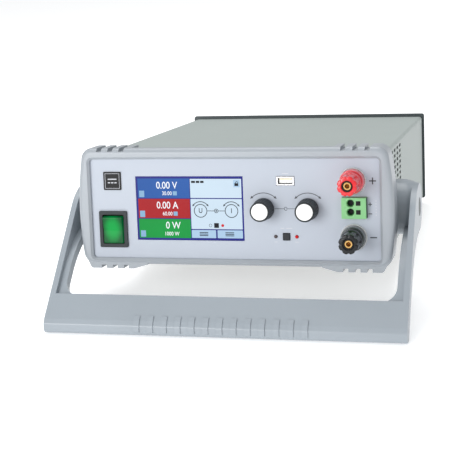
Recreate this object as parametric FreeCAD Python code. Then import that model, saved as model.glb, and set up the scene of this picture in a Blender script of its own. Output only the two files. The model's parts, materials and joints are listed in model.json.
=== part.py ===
import FreeCAD
import Part
import math
import os

"""Desktop DC bench power supply, standing on its fold-down carry handle.

The instrument is drawn square to its own case: X to the right seen from the front, Y to the rear,
Z up, with the middle of the bezel's front edge at the origin. Each piece is a function that returns
one solid, or a group of separate solids. At the end every piece is tilted back on the handle and
stood on z = 0, with the origin under the middle of the whole instrument. All lengths are in mm.
"""

Vec = FreeCAD.Vector
AXIS_X = Vec(1, 0, 0)
AXIS_Y = Vec(0, 1, 0)
AXIS_Z = Vec(0, 0, 1)

# --- bezel -------------------------------------------------------------------------------------
BEZEL_CORNER_X = 135.0       # half width at the corners
BEZEL_BULGE_X = 138.7        # half width at the widest point of the bowed sides
BEZEL_BULGE_Z = -5.0
BEZEL_Z = 51.2               # half height
BEZEL_CORNER_R = 10.0
BEZEL_DEPTH = 26.0
BEZEL_NOSE_R = 5.0           # rounding of the outer front edge
RIM_DEPTH = 6.6              # depth of the rim between the corner bumpers
BUMPER_INNER_X = 89.0        # where the corner bumpers start on top
FOOT_Z = -54.8               # underside of the bumpers' feet and of the rear feet
FOOT_SLOPE_X = (77.0, 90.0)  # sloped run from the rim to the foot
NOTCH_X = (97.0, 107.2, 117.4)
NOTCH_WIDTH = 4.5
NOTCH_DEPTH = 3.0
WINDOW_X = 127.0
WINDOW_TOP = 41.5
WINDOW_BOTTOM = -45.6
WINDOW_CORNER_R = 3.0
WINDOW_BEVEL = 2.0

# --- sheet metal case --------------------------------------------------------------------------
PANEL_Y = 4.0                # printed face of the front panel
PANEL_THICK = 2.0
CASE_X = 128.0
CASE_TOP = 42.0
CASE_BOTTOM = -46.0
CASE_FRONT_Y = 6.2
CASE_REAR_Y = 352.0
SHEET = 1.5
CASE_BEND_R = 3.0
REAR_LIP = 2.5
REAR_LIP_TOP = 3.5
REAR_LIP_BOTTOM = 1.8
REAR_FRAME_DEPTH = 3.5
VENT_LENGTH = 12.0
VENT_HEIGHT = 3.0
VENT_PITCH_Y = 20.2
VENT_PITCH_Z = 5.1
VENT_FIRST_Y = 40.3
VENT_COLUMNS = 6
VENT_ROWS = 14
VENT_TOP_Z = 36.0

# --- carry handle ------------------------------------------------------------------------------
PIVOT_Y = 57.0
PIVOT_Z = -8.0
HANDLE_X = 154.0
ARM_WALL = 5.0
ARM_INNER_X = 143.0
ARM_SLOPE = math.radians(48.1)
ARM_WIDTH = 12.0
WEB_THICK = 8.0
HUB_R = 20.5
HUB_CONE_R = 24.0
HUB_INNER_X = 133.4
BOSS_X = 133.0
BOSS_R = 24.0
PLATE_TOP = (-36.0, -69.1)
PLATE_LENGTH = 24.6
GRIP_NOSE_Y = -54.6
GRIP_BOTTOM_Z = -100.0
GRIP_BOTTOM_R = 4.5
RIB_COUNT = 13
RIB_PITCH = 11.9
RIB_WIDTH = 5.2
RIB_PROUD = 0.9
BOLT_R = 5.0
LOCK_BUTTON_R = 8.0
LOCK_TRAVEL = 2.5

# --- front panel fittings ----------------------------------------------------------------------
BADGE = (-107.0, 22.3, 16.0)
ROCKER_X = -107.6
ROCKER_Z = -20.3
ROCKER_FRAME = (25.5, 32.1)
ROCKER_CAP = (17.6, 23.6)
ROCKER_PROUD = 3.0
ROCKER_TILT = 6.0
DISPLAY_X = -38.0
DISPLAY_Z = -1.7
DISPLAY_SIZE = (95.9, 55.9)
USB_X = 47.0
USB_Z = 22.3
USB_SIZE = (15.2, 7.5)
KNOB_X = (27.6, 65.9)
KNOB_Z = -1.6
KNOB_LENGTH = 17.0
KNOB_BASE_R = 9.3
KNOB_FRONT_R = 8.5
KNOB_CAP_R = 7.1
KNOB_FLUTES = 24
KNOB_PUSH = 0.6
BUTTON_X = 46.7
BUTTON_Z = -25.6
BUTTON_SIZE = 6.0
BUTTON_TRAVEL = 0.8
LED_X = (37.4, 55.6)
LED_Z = -25.5
LED_R = 1.5
POST_X = 104.2
POST_Z = (22.3, -25.5)
POST_COLLAR_R = 10.5
POST_COLLAR_LENGTH = 9.0
POST_NUT_R = 8.4
POST_NUT_LENGTH = 21.0
POST_CORE_R = 3.1
POST_BORE_R = 2.0
POST_BORE_LENGTH = 19.0
POST_WASHER = 1.6
SENSE_X = 105.5
SENSE_Z = 0.0
SENSE_SIZE = (20.7, 17.5)
SENSE_PROUD = 6.0

# --- rear panel and inside ---------------------------------------------------------------------
FAN_X = -62.0
FAN_Z = -0.5
FAN_SIZE = 80.0
FAN_DEPTH = 25.0
FAN_BORE_R = 38.0
INLET_X = 92.0
INLET_Z = -8.0
DSUB_X = 20.0
DSUB_Z = 18.0
SERVICE_X = 22.0
SERVICE_Z = -14.0
BOARD_Y = 15.1               # front face of the front board
BOARD_Z = -36.0
BOARD_THICK = 1.6

GAP = 0.3                    # clearance beside anything that moves


# === small shape helpers ======================================================================
def box(x0, x1, y0, y1, z0, z1):
    """Box between two corners."""
    return Part.makeBox(x1 - x0, y1 - y0, z1 - z0, Vec(x0, y0, z0))


def rod_y(x, z, radius, y0, y1):
    """Cylinder along Y."""
    return Part.makeCylinder(radius, y1 - y0, Vec(x, y0, z), AXIS_Y)


def rod_x(y, z, radius, x0, x1):
    """Cylinder along X."""
    return Part.makeCylinder(radius, x1 - x0, Vec(x0, y, z), AXIS_X)


def rod_z(x, y, radius, z0, z1):
    """Cylinder along Z."""
    return Part.makeCylinder(radius, z1 - z0, Vec(x, y, z0), AXIS_Z)


def cone_y(x, z, radius0, radius1, y0, y1):
    """Cone frustum along Y."""
    return Part.makeCone(radius0, radius1, y1 - y0, Vec(x, y0, z), AXIS_Y)


def plate_xz(x0, x1, z0, z1, radius, y0, y1):
    """Plate in the XZ plane with rounded corners."""
    corners = [(x0, z0), (x1, z0), (x1, z1), (x0, z1)]
    return prism_y(rounded_wire(corners, [radius] * 4, to_xz), y0, y1)


def to_xz(u, v):
    """Point of an outline drawn in the XZ plane."""
    return Vec(u, 0, v)


def to_yz(u, v):
    """Point of an outline drawn in the YZ plane."""
    return Vec(0, u, v)


def rounded_wire(points, radii, place):
    """Closed outline through the points, each corner rounded by its radius."""
    spots = [Vec(u, v, 0) for u, v in points]
    edges = []
    ends = []
    count = len(spots)
    for i in range(count):
        corner = spots[i]
        before = (spots[i - 1] - corner).normalize()
        after = (spots[(i + 1) % count] - corner).normalize()
        if radii[i] <= 0:
            ends.append((corner, None, corner))
            continue
        half = before.getAngle(after) / 2
        reach = radii[i] / math.tan(half)
        middle = (before + after).normalize() * (radii[i] / math.sin(half) - radii[i])
        ends.append((corner + before * reach, corner + middle, corner + after * reach))
    for i in range(count):
        start, through, end = [None if p is None else place(p.x, p.y) for p in ends[i]]
        following = ends[(i + 1) % count][0]
        following = place(following.x, following.y)
        if through is not None:
            edges.append(Part.Arc(start, through, end).toShape())
        if (following - end).Length > 1e-6:
            edges.append(Part.LineSegment(end, following).toShape())
    return Part.Wire(edges)


def prism_y(wire, y0, y1):
    """Solid of an XZ outline between two Y planes."""
    solid = Part.Face(wire).extrude(Vec(0, y1 - y0, 0))
    solid.translate(Vec(0, y0, 0))
    return solid


def prism_x(wire, x0, x1):
    """Solid of a YZ outline between two X planes."""
    solid = Part.Face(wire).extrude(Vec(x1 - x0, 0, 0))
    solid.translate(Vec(x0, 0, 0))
    return solid


def fuse_all(shapes):
    """One solid from overlapping shapes."""
    return shapes[0].multiFuse(shapes[1:]).removeSplitter()


def cut_all(shape, tools):
    """Shape with every tool cut out of it."""
    return shape.cut(Part.makeCompound(tools)) if tools else shape


def mirrored_x(shape):
    """The same piece on the other side of the case."""
    return shape.mirror(Vec(0, 0, 0), AXIS_X)


def on_side(shape, side):
    """Piece drawn on the right (+X) side, moved to the side asked for."""
    return shape if side > 0 else mirrored_x(shape)


# === bezel and panel ==========================================================================
def bow_x(z):
    """Half width of the bowed side at a height."""
    drop = BEZEL_BULGE_X - BEZEL_CORNER_X
    reach = BEZEL_Z - BEZEL_CORNER_R - BEZEL_BULGE_Z
    radius = (reach * reach + drop * drop) / (2 * drop)
    return BEZEL_BULGE_X - radius + math.sqrt(radius * radius - (z - BEZEL_BULGE_Z) ** 2)


def bezel_blank():
    """Bezel block: flat top and bottom, slightly bowed sides, rounded corners and front edge."""
    top = Vec(bow_x(BEZEL_Z), 0, BEZEL_Z)
    bow = Vec(BEZEL_BULGE_X, 0, BEZEL_BULGE_Z)
    bottom = Vec(bow_x(-BEZEL_Z), 0, -BEZEL_Z)
    left = [Vec(-p.x, 0, p.z) for p in (bottom, bow, top)]
    outline = Part.Wire([
        Part.Arc(top, bow, bottom).toShape(),
        Part.LineSegment(bottom, left[0]).toShape(),
        Part.Arc(left[0], left[1], left[2]).toShape(),
        Part.LineSegment(left[2], top).toShape(),
    ])
    block = prism_y(outline, 0, BEZEL_DEPTH)
    corners = [e for e in block.Edges if e.BoundBox.YLength > BEZEL_DEPTH - 0.1]
    block = block.makeFillet(BEZEL_CORNER_R, corners)
    front_edges = [e for e in block.Edges if e.BoundBox.YMax < 0.01]
    return block.makeFillet(BEZEL_NOSE_R, front_edges)


def bezel_foot(side):
    """Low foot under one bottom corner, with a sloped run up to the rim."""
    inner, full = FOOT_SLOPE_X
    outer = BEZEL_CORNER_X - BEZEL_CORNER_R + 4.0
    top = -BEZEL_Z + 6.0
    points = [(inner, top), (inner, -BEZEL_Z), (full, FOOT_Z), (outer, FOOT_Z), (outer + 4.5, top)]
    wire = rounded_wire(points, [0, 0, 0, 3.0, 0], to_xz)
    return on_side(prism_y(wire, 1.2, BEZEL_DEPTH), side)


def front_bezel():
    """Moulded front frame with four notched corner bumpers."""
    body = fuse_all([bezel_blank(), bezel_foot(1), bezel_foot(-1)])
    window = plate_xz(-WINDOW_X, WINDOW_X, WINDOW_BOTTOM, WINDOW_TOP, WINDOW_CORNER_R, -1, 30)
    body = body.cut(window)
    inner_edges = [
        e for e in body.Edges
        if e.BoundBox.YMax < 0.01 and abs(e.CenterOfMass.x) < WINDOW_X + 0.1
        and WINDOW_BOTTOM - 0.1 < e.CenterOfMass.z < WINDOW_TOP + 0.1
    ]
    body = body.makeChamfer(WINDOW_BEVEL, inner_edges)
    seat = box(-WINDOW_X - 3, WINDOW_X + 3, PANEL_Y, PANEL_Y + PANEL_THICK + 0.1,
               WINDOW_BOTTOM - 2.5, WINDOW_TOP + 2.5)
    slack = 0.15
    socket = box(-CASE_X - slack, CASE_X + slack, PANEL_Y + PANEL_THICK, BEZEL_DEPTH + 5,
                 CASE_BOTTOM - slack, CASE_TOP + slack)
    relief_top = box(-BUMPER_INNER_X, BUMPER_INNER_X, RIM_DEPTH, BEZEL_DEPTH + 5,
                     CASE_TOP - 1, BEZEL_Z + 5)
    tools = [seat, socket, relief_top]
    for side in (-1, 1):
        for x in NOTCH_X:
            middle = side * x
            x0, x1 = middle - NOTCH_WIDTH / 2, middle + NOTCH_WIDTH / 2
            tools.append(box(x0, x1, -1, BEZEL_DEPTH + 1, BEZEL_Z - NOTCH_DEPTH, BEZEL_Z + 1))
            tools.append(box(x0, x1, -1, BEZEL_DEPTH + 1, FOOT_Z - 1, FOOT_Z + NOTCH_DEPTH))
    return cut_all(body, tools)


def panel_openings():
    """Everything that passes through the front panel."""
    y0, y1 = PANEL_Y - 1, PANEL_Y + PANEL_THICK + 1
    tools = [
        box(ROCKER_X - 11.2, ROCKER_X + 11.2, y0, y1, ROCKER_Z - 14.5, ROCKER_Z + 14.5),
        display_block(DISPLAY_SIZE[0] + 0.2, DISPLAY_SIZE[1] + 0.2, y0, y1),
        box(USB_X - 6.9, USB_X + 6.9, y0, y1, USB_Z - 3.3, USB_Z + 3.3),
        box(
            BUTTON_X - BUTTON_SIZE / 2 - GAP, BUTTON_X + BUTTON_SIZE / 2 + GAP, y0, y1,
            BUTTON_Z - BUTTON_SIZE / 2 - GAP, BUTTON_Z + BUTTON_SIZE / 2 + GAP,
        ),
        box(
            SENSE_X - SENSE_SIZE[0] / 2 - GAP, SENSE_X + SENSE_SIZE[0] / 2 + GAP, y0, y1,
            SENSE_Z - SENSE_SIZE[1] / 2 - GAP, SENSE_Z + SENSE_SIZE[1] / 2 + GAP,
        ),
    ]
    tools += [rod_y(x, KNOB_Z, 3.6, y0, y1) for x in KNOB_X]
    tools += [rod_y(x, LED_Z, LED_R + 0.1, y0, y1) for x in LED_X]
    tools += [rod_y(POST_X, z, 5.0, y0, y1) for z in POST_Z]
    return tools


def front_panel():
    """Flat aluminium panel with the printed front face."""
    clear = 0.2
    blank = box(
        -WINDOW_X - 3 + clear, WINDOW_X + 3 - clear, PANEL_Y, PANEL_Y + PANEL_THICK,
        WINDOW_BOTTOM - 2.5 + clear, WINDOW_TOP + 2.5 - clear,
    )
    return cut_all(blank, panel_openings())


def badge_plate():
    """Small square nameplate, left blank."""
    x, z, size = BADGE
    return plate_xz(x - size / 2, x + size / 2, z - size / 2, z + size / 2, 0.6,
                    PANEL_Y - 0.8, PANEL_Y)


# === sheet metal case =========================================================================
def u_section(half_x, top, bottom, thick, bend_r, y0, y1):
    """Inverted U of sheet metal along Y."""
    outer = prism_y(
        rounded_wire(
            [(-half_x, bottom), (half_x, bottom), (half_x, top), (-half_x, top)],
            [0, 0, bend_r, bend_r], to_xz,
        ), y0, y1)
    inner = prism_y(
        rounded_wire(
            [(-half_x + thick, bottom - 1), (half_x - thick, bottom - 1),
             (half_x - thick, top - thick), (-half_x + thick, top - thick)],
            [0, 0, bend_r - thick, bend_r - thick], to_xz,
        ), y0 - 1, y1 + 1)
    return outer.cut(inner)


def vent_slots(side):
    """Rows of short horizontal slots behind the bezel, clear of the handle's boss."""
    slots = []
    for column in range(VENT_COLUMNS):
        y = VENT_FIRST_Y + column * VENT_PITCH_Y
        for row in range(VENT_ROWS):
            z = VENT_TOP_Z - row * VENT_PITCH_Z
            if math.hypot(y - PIVOT_Y, z - PIVOT_Z) < BOSS_R + 9.0:
                continue
            x0, x1 = (CASE_X - 4, CASE_X + 1) if side > 0 else (-CASE_X - 1, -CASE_X + 4)
            slots.append(box(x0, x1, y - VENT_LENGTH / 2, y + VENT_LENGTH / 2,
                             z - VENT_HEIGHT / 2, z + VENT_HEIGHT / 2))
    return slots


def top_cover():
    """Painted sheet cover: top and both sides, with vent slots."""
    sheet = u_section(CASE_X, CASE_TOP, CASE_BOTTOM, SHEET, CASE_BEND_R, CASE_FRONT_Y, CASE_REAR_Y)
    holes = vent_slots(1) + vent_slots(-1)
    holes += [rod_x(PIVOT_Y, PIVOT_Z, BOLT_R + 0.1, -CASE_X - 5, CASE_X + 5)]
    return cut_all(sheet, holes)


def tray_outline_inner():
    """Clear inside width of the cover, where the tray's flanges stand."""
    return CASE_X - SHEET - 0.1


def bottom_tray():
    """Bottom tray with upturned side flanges, front and rear flanges and board posts."""
    x = tray_outline_inner()
    floor = box(-x, x, CASE_FRONT_Y, CASE_REAR_Y - 2, CASE_BOTTOM, CASE_BOTTOM + SHEET)
    flanges = [
        box(-x, -x + SHEET, CASE_FRONT_Y, CASE_REAR_Y - 2, CASE_BOTTOM, CASE_BOTTOM + 14),
        box(x - SHEET, x, CASE_FRONT_Y, CASE_REAR_Y - 2, CASE_BOTTOM, CASE_BOTTOM + 14),
    ]
    posts = []
    for px in (-100.0, 100.0):
        for py in (60.0, 180.0, 300.0):
            posts.append(rod_z(px, py, 3.5, CASE_BOTTOM, BOARD_Z))
    return fuse_all([floor] + flanges + posts)


def rear_cutouts():
    """Openings of the rear panel for the fan, inlet and sockets."""
    y0, y1 = CASE_REAR_Y - 3, CASE_REAR_Y + 3
    return [
        rod_y(FAN_X, FAN_Z, FAN_BORE_R, y0, y1),
        box(INLET_X - 14.0, INLET_X + 14.0, y0, y1, INLET_Z - 18.0, INLET_Z + 18.0),
        box(DSUB_X - 12.6, DSUB_X + 12.6, y0, y1, DSUB_Z - 4.8, DSUB_Z + 4.8),
        box(SERVICE_X - 6.2, SERVICE_X + 6.2, y0, y1, SERVICE_Z - 5.6, SERVICE_Z + 5.6),
    ]


def rear_panel():
    """Rear wall inside the cover."""
    x = tray_outline_inner()
    wall = plate_xz(-x, x, CASE_BOTTOM + SHEET + 0.1, CASE_TOP - SHEET - 0.1, CASE_BEND_R - SHEET,
                    CASE_REAR_Y - SHEET, CASE_REAR_Y)
    return cut_all(wall, rear_cutouts())


def rear_frame():
    """Dark frame round the rear edge, standing a little proud of the cover."""
    x = CASE_X + REAR_LIP
    z0 = CASE_BOTTOM - REAR_LIP_BOTTOM
    z1 = CASE_TOP + REAR_LIP_TOP
    y0, y1 = CASE_REAR_Y, CASE_REAR_Y + REAR_FRAME_DEPTH
    outer = plate_xz(-x, x, z0, z1, 2.5, y0, y1)
    inner = plate_xz(-x + 7, x - 7, z0 + 6.5, z1 - 8, 2.0, y0 - 1, y1 + 1)
    return outer.cut(inner)


def rear_foot(x):
    """One moulded foot under the rear of the tray."""
    return cone_z(x, CASE_REAR_Y - 16.0, 9.0, 10.5, FOOT_Z, CASE_BOTTOM)


def cone_z(x, y, radius0, radius1, z0, z1):
    """Cone frustum along Z."""
    return Part.makeCone(radius0, radius1, z1 - z0, Vec(x, y, z0), AXIS_Z)


def rear_feet():
    """The pair of rear feet."""
    return Part.makeCompound([rear_foot(-100.0), rear_foot(100.0)])


def screw_head_y(x, z, radius, height, y):
    """Pan head with a cross recess, facing the rear."""
    head = rod_y(x, z, radius, y, y + height)
    cross = [
        box(x - radius * 0.6, x + radius * 0.6, y + height * 0.45, y + height + 1, z - 0.35, z + 0.35),
        box(x - 0.35, x + 0.35, y + height * 0.45, y + height + 1, z - radius * 0.6, z + radius * 0.6),
    ]
    return cut_all(head, cross)


def rear_screws():
    """Pan head screws that hold the rear frame."""
    spots = [(sx * 122.0, z) for sx in (-1, 1) for z in (-38.0, 37.0)]
    y = CASE_REAR_Y + REAR_FRAME_DEPTH
    return Part.makeCompound([screw_head_y(x, z, 3.0, 1.8, y) for x, z in spots])


def screw_head_z(x, y, radius, height, z):
    """Countersunk style head under the tray, facing down."""
    head = rod_z(x, y, radius, z - height, z)
    cross = [
        box(x - radius * 0.6, x + radius * 0.6, y - 0.35, y + 0.35, z - height - 1, z - height * 0.45),
        box(x - 0.35, x + 0.35, y - radius * 0.6, y + radius * 0.6, z - height - 1, z - height * 0.45),
    ]
    return cut_all(head, cross)


def tray_screws():
    """Screws under the tray that hold the main board's posts."""
    spots = [(x, y) for x in (-100.0, 100.0) for y in (60.0, 180.0, 300.0)]
    return Part.makeCompound([screw_head_z(x, y, 3.2, 1.6, CASE_BOTTOM) for x, y in spots])


# === carry handle =============================================================================
def arm_axes():
    """Unit vectors along the arm, down and forward, and out of its front edge."""
    along = Vec(0, -math.cos(ARM_SLOPE), -math.sin(ARM_SLOPE))
    outward = Vec(0, -math.sin(ARM_SLOPE), math.cos(ARM_SLOPE))
    return along, outward


def plate_point(distance, depth):
    """Point at a distance down the grip plate and a depth behind its face."""
    along, outward = arm_axes()
    return Vec(0, PLATE_TOP[0], PLATE_TOP[1]) + along * distance - outward * depth


def tangent_arc(top_z, line_point, outward):
    """Arc from the hub's top or bottom that runs smoothly into the arm's straight edge."""
    start = Vec(0, PIVOT_Y, top_z)
    reach = (start - line_point).dot(outward)
    radius = -reach / (1 - outward.z)
    centre = start - Vec(0, 0, radius)
    end = centre + outward * radius
    middle_direction = (Vec(0, 0, 1) + outward).normalize()
    through = centre + middle_direction * radius
    return start, through, end


def arm_wire(depth_front, depth_rear, hub_top, hub_bottom, length):
    """Side outline of an arm between two depths behind the front edge."""
    outward = arm_axes()[1]
    front_line = plate_point(0, depth_front)
    rear_line = plate_point(0, depth_rear)
    top, top_mid, front = tangent_arc(hub_top, front_line, outward)
    bottom, bottom_mid, rear = tangent_arc(hub_bottom, rear_line, outward)
    end_front = plate_point(length, depth_front)
    end_rear = plate_point(length, depth_rear)
    back = Vec(0, PIVOT_Y + (hub_top - hub_bottom) / 2, (hub_top + hub_bottom) / 2)
    edges = [
        Part.Arc(top, top_mid, front).toShape(),
        Part.LineSegment(front, end_front).toShape(),
        Part.LineSegment(end_front, end_rear).toShape(),
        Part.LineSegment(end_rear, rear).toShape(),
        Part.Arc(rear, bottom_mid, bottom).toShape(),
        Part.Arc(bottom, back, top).toShape(),
    ]
    return Part.Wire(edges)


def grip_section():
    """Closed section of the grip bar: sloping plate, upright nose and rounded underside."""
    top = plate_point(0, 0)
    ridge = plate_point(PLATE_LENGTH, 0)
    back_top = plate_point(0, ARM_WIDTH)
    back_bottom = plate_point(PLATE_LENGTH - 3.0, ARM_WIDTH + 2.5)
    points = [
        (top.y, top.z), (ridge.y, ridge.z), (GRIP_NOSE_Y, ridge.z - 4.0),
        (GRIP_NOSE_Y, GRIP_BOTTOM_Z), (back_bottom.y - 3.0, GRIP_BOTTOM_Z),
        (back_bottom.y, back_bottom.z), (back_top.y, back_top.z),
    ]
    radii = [0.8, 2.2, 3.0, GRIP_BOTTOM_R, 3.0, 2.0, 1.5]
    return rounded_wire(points, radii, to_yz)


def handle_arm():
    """Right arm: outer wall, rear web with its corner gusset, and the hub cone."""
    hub_top = PIVOT_Z + HUB_R
    hub_bottom = PIVOT_Z - HUB_R
    wall = prism_x(arm_wire(0, ARM_WIDTH, hub_top, hub_bottom, 6.0), HANDLE_X - ARM_WALL, HANDLE_X)
    slab = prism_x(arm_wire(0, ARM_WIDTH, hub_top, hub_bottom, 2.0), ARM_INNER_X, HANDLE_X - ARM_WALL)
    recess_wire = arm_wire(-40, ARM_WIDTH - WEB_THICK, hub_top + 60, hub_bottom + WEB_THICK, 60.0)
    pocket = prism_x(recess_wire, ARM_INNER_X - 1, HANDLE_X - ARM_WALL)
    web = slab.cut(pocket)
    drum = rod_x(PIVOT_Y, PIVOT_Z, HUB_CONE_R, HUB_INNER_X, ARM_INNER_X)
    taper = Part.makeCone(HUB_CONE_R, HUB_R, HANDLE_X - ARM_INNER_X,
                          Vec(ARM_INNER_X, PIVOT_Y, PIVOT_Z), AXIS_X)
    return [wall, web, drum, taper]


def corner_gusset():
    """Rounded inner corner between the web and the grip, at the depth of the web."""
    radius = 14.0
    along = arm_axes()[0]
    reach = radius + 1.0
    x1 = ARM_INNER_X + 1.0
    top = plate_point(-radius, ARM_WIDTH - WEB_THICK)
    block = prism_x(
        rounded_wire(
            [(p.y, p.z) for p in (
                plate_point(-radius, ARM_WIDTH - WEB_THICK), plate_point(1.0, ARM_WIDTH - WEB_THICK),
                plate_point(1.0, ARM_WIDTH), plate_point(-radius, ARM_WIDTH),
            )], [0, 0, 0, 0], to_yz), ARM_INNER_X - radius, x1)
    outward = arm_axes()[1]
    centre = Vec(ARM_INNER_X - radius, top.y, top.z) + outward * reach
    scoop = Part.makeCylinder(radius, WEB_THICK + 2 * reach, centre, outward * -1)
    return block.cut(scoop)


def carry_handle():
    """Bow handle: two arms with hubs and the grip bar with its raised ribs."""
    pieces = []
    for side in (-1, 1):
        for piece in handle_arm() + [corner_gusset()]:
            pieces.append(on_side(piece, side))
    bar = prism_x(grip_section(), -HANDLE_X, HANDLE_X)
    pieces.append(bar)
    body = fuse_all(pieces)
    body = cut_all(body, [rod_x(PIVOT_Y, PIVOT_Z, BOLT_R + 0.06, -HANDLE_X - 5, HANDLE_X + 5)])
    recess = LOCK_BUTTON_R + GAP
    for side in (-1, 1):
        x0, x1 = sorted((side * (HANDLE_X - 9.0), side * (HANDLE_X + 1.0)))
        body = body.cut(rod_x(PIVOT_Y, PIVOT_Z, recess, x0, x1))
    return fuse_all([body] + grip_ribs())


def grip_ribs():
    """Raised ribs across the nose of the grip."""
    ribs = []
    ridge = plate_point(PLATE_LENGTH, 0)
    along, outward = arm_axes()
    start = plate_point(PLATE_LENGTH - 5.0, -RIB_PROUD)
    points = [
        (start.y, start.z), (ridge.y + outward.y * RIB_PROUD, ridge.z + outward.z * RIB_PROUD),
        (GRIP_NOSE_Y - RIB_PROUD, ridge.z - 4.0), (GRIP_NOSE_Y - RIB_PROUD, GRIP_BOTTOM_Z + 3.0),
        (GRIP_NOSE_Y + 3.0, GRIP_BOTTOM_Z + 3.0), (ridge.y + 5.0, ridge.z - 4.0),
    ]
    wire = rounded_wire(points, [0.4, 2.2, 3.0, 1.0, 0, 0], to_yz)
    for i in range(RIB_COUNT):
        x = (i - (RIB_COUNT - 1) / 2) * RIB_PITCH
        ribs.append(prism_x(wire, x - RIB_WIDTH / 2, x + RIB_WIDTH / 2))
    return ribs


def pivot_boss(side):
    """Fixed detent disc on the side of the case."""
    disc = rod_x(PIVOT_Y, PIVOT_Z, BOSS_R, CASE_X, BOSS_X)
    return on_side(disc.cut(rod_x(PIVOT_Y, PIVOT_Z, BOLT_R, CASE_X - 1, BOSS_X + 1)), side)


def pivot_bolt(side):
    """Shoulder bolt through the boss and the hub, with its nut plate inside the case."""
    shank = rod_x(PIVOT_Y, PIVOT_Z, BOLT_R, CASE_X - SHEET, HANDLE_X - 9.4)
    plate = rod_x(PIVOT_Y, PIVOT_Z, 11.0, CASE_X - SHEET - 3.0, CASE_X - SHEET)
    head_bore = rod_x(PIVOT_Y, PIVOT_Z, 3.1, HANDLE_X - 16.0, HANDLE_X)
    return on_side(fuse_all([shank, plate]).cut(head_bore), side)


def lock_button(side):
    """Release button in the middle of the hub."""
    x1 = HANDLE_X - 0.2
    cap = rod_x(PIVOT_Y, PIVOT_Z, LOCK_BUTTON_R, x1 - 4.0, x1)
    rim = [e for e in cap.Edges if e.BoundBox.XMin > x1 - 0.01]
    cap = cap.makeFillet(1.0, rim)
    stem = rod_x(PIVOT_Y, PIVOT_Z, 2.8, x1 - 11.0, x1 - 3.5)
    return on_side(fuse_all([cap, stem]), side)


# === mains rocker and display =================================================================
def rocker_frame():
    """Snap-in rocker switch body with its rim on the panel."""
    w, h = ROCKER_FRAME
    rim = plate_xz(ROCKER_X - w / 2, ROCKER_X + w / 2, ROCKER_Z - h / 2, ROCKER_Z + h / 2, 1.2,
                   PANEL_Y - 2.0, PANEL_Y)
    body = box(ROCKER_X - 11.0, ROCKER_X + 11.0, PANEL_Y, PANEL_Y + 24.0,
               ROCKER_Z - 14.3, ROCKER_Z + 14.3)
    well = plate_xz(
        ROCKER_X - ROCKER_CAP[0] / 2 - 1.0, ROCKER_X + ROCKER_CAP[0] / 2 + 1.0,
        ROCKER_Z - ROCKER_CAP[1] / 2 - 1.2, ROCKER_Z + ROCKER_CAP[1] / 2 + 1.2, 1.6,
        PANEL_Y - 3.0, PANEL_Y + 12.0)
    tabs = [box(ROCKER_X + dx - 0.4, ROCKER_X + dx + 0.4, PANEL_Y + 23.5, PANEL_Y + 32.0,
                ROCKER_Z + dz - 3.1, ROCKER_Z + dz + 3.1)
            for dx in (-6.0, 6.0) for dz in (-7.0, 7.0)]
    return fuse_all([rim, body] + tabs).cut(well)


def rocker_lever():
    """Rocker cap with a shallow V face and its pivot stub, pressed in at the lower end."""
    w, h = ROCKER_CAP
    y = PANEL_Y
    points = [
        (y - ROCKER_PROUD - 1.2, ROCKER_Z + h / 2), (y - ROCKER_PROUD, ROCKER_Z),
        (y - ROCKER_PROUD - 1.2, ROCKER_Z - h / 2), (y + 1.5, ROCKER_Z - h / 2),
        (y + 6.0, ROCKER_Z - 3.5), (y + 6.0, ROCKER_Z + 3.5), (y + 1.5, ROCKER_Z + h / 2),
    ]
    cap = prism_x(rounded_wire(points, [1.2, 6, 1.2, 0.5, 0.5, 0.5, 0.5], to_yz),
                  ROCKER_X - w / 2, ROCKER_X + w / 2)
    cap.rotate(Vec(ROCKER_X, y + 3.5, ROCKER_Z), AXIS_X, ROCKER_TILT)
    return cap


def display_block(width, height, y0, y1):
    """Rectangular block centred on the display."""
    return box(DISPLAY_X - width / 2, DISPLAY_X + width / 2, y0, y1,
               DISPLAY_Z - height / 2, DISPLAY_Z + height / 2)


def display_glass():
    """Touch panel glass, level with the front panel."""
    return display_block(DISPLAY_SIZE[0], DISPLAY_SIZE[1], PANEL_Y + 0.3, PANEL_Y + 1.9)


def display_module():
    """Display with its backlight and metal frame, behind the glass."""
    return display_block(DISPLAY_SIZE[0] + 3.0, DISPLAY_SIZE[1] + 6.0, PANEL_Y + PANEL_THICK, BOARD_Y)


# === knobs ====================================================================================
def fluted_knob(x):
    """Tapered knob with flutes and a recess for the cap."""
    y_base = PANEL_Y - 1.0
    y_front = PANEL_Y - KNOB_LENGTH
    body = cone_y(x, KNOB_Z, KNOB_FRONT_R, KNOB_BASE_R, y_front, y_base)
    rim = [e for e in body.Edges if e.BoundBox.YMax < y_front + 0.01]
    body = body.makeFillet(0.7, rim)
    flutes = []
    for i in range(KNOB_FLUTES):
        angle = 2 * math.pi * i / KNOB_FLUTES
        cx = x + (KNOB_BASE_R + 0.35) * math.cos(angle)
        cz = KNOB_Z + (KNOB_BASE_R + 0.35) * math.sin(angle)
        tip_x = x + (KNOB_FRONT_R + 0.35) * math.cos(angle)
        tip_z = KNOB_Z + (KNOB_FRONT_R + 0.35) * math.sin(angle)
        start = Vec(tip_x, y_front - 0.1, tip_z)
        run = Vec(cx, y_base - 2.2, cz) - start
        flutes.append(Part.makeCylinder(0.75, run.Length, start, run))
    bore = rod_y(x, KNOB_Z, 3.05, y_front + 4.0, y_base + 1)
    cavity = rod_y(x, KNOB_Z, 6.6, y_base - 6.5, y_base + 1)
    seat = rod_y(x, KNOB_Z, KNOB_CAP_R, y_front - 1, y_front + 1.5)
    return cut_all(body, flutes + [bore, cavity, seat])


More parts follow.
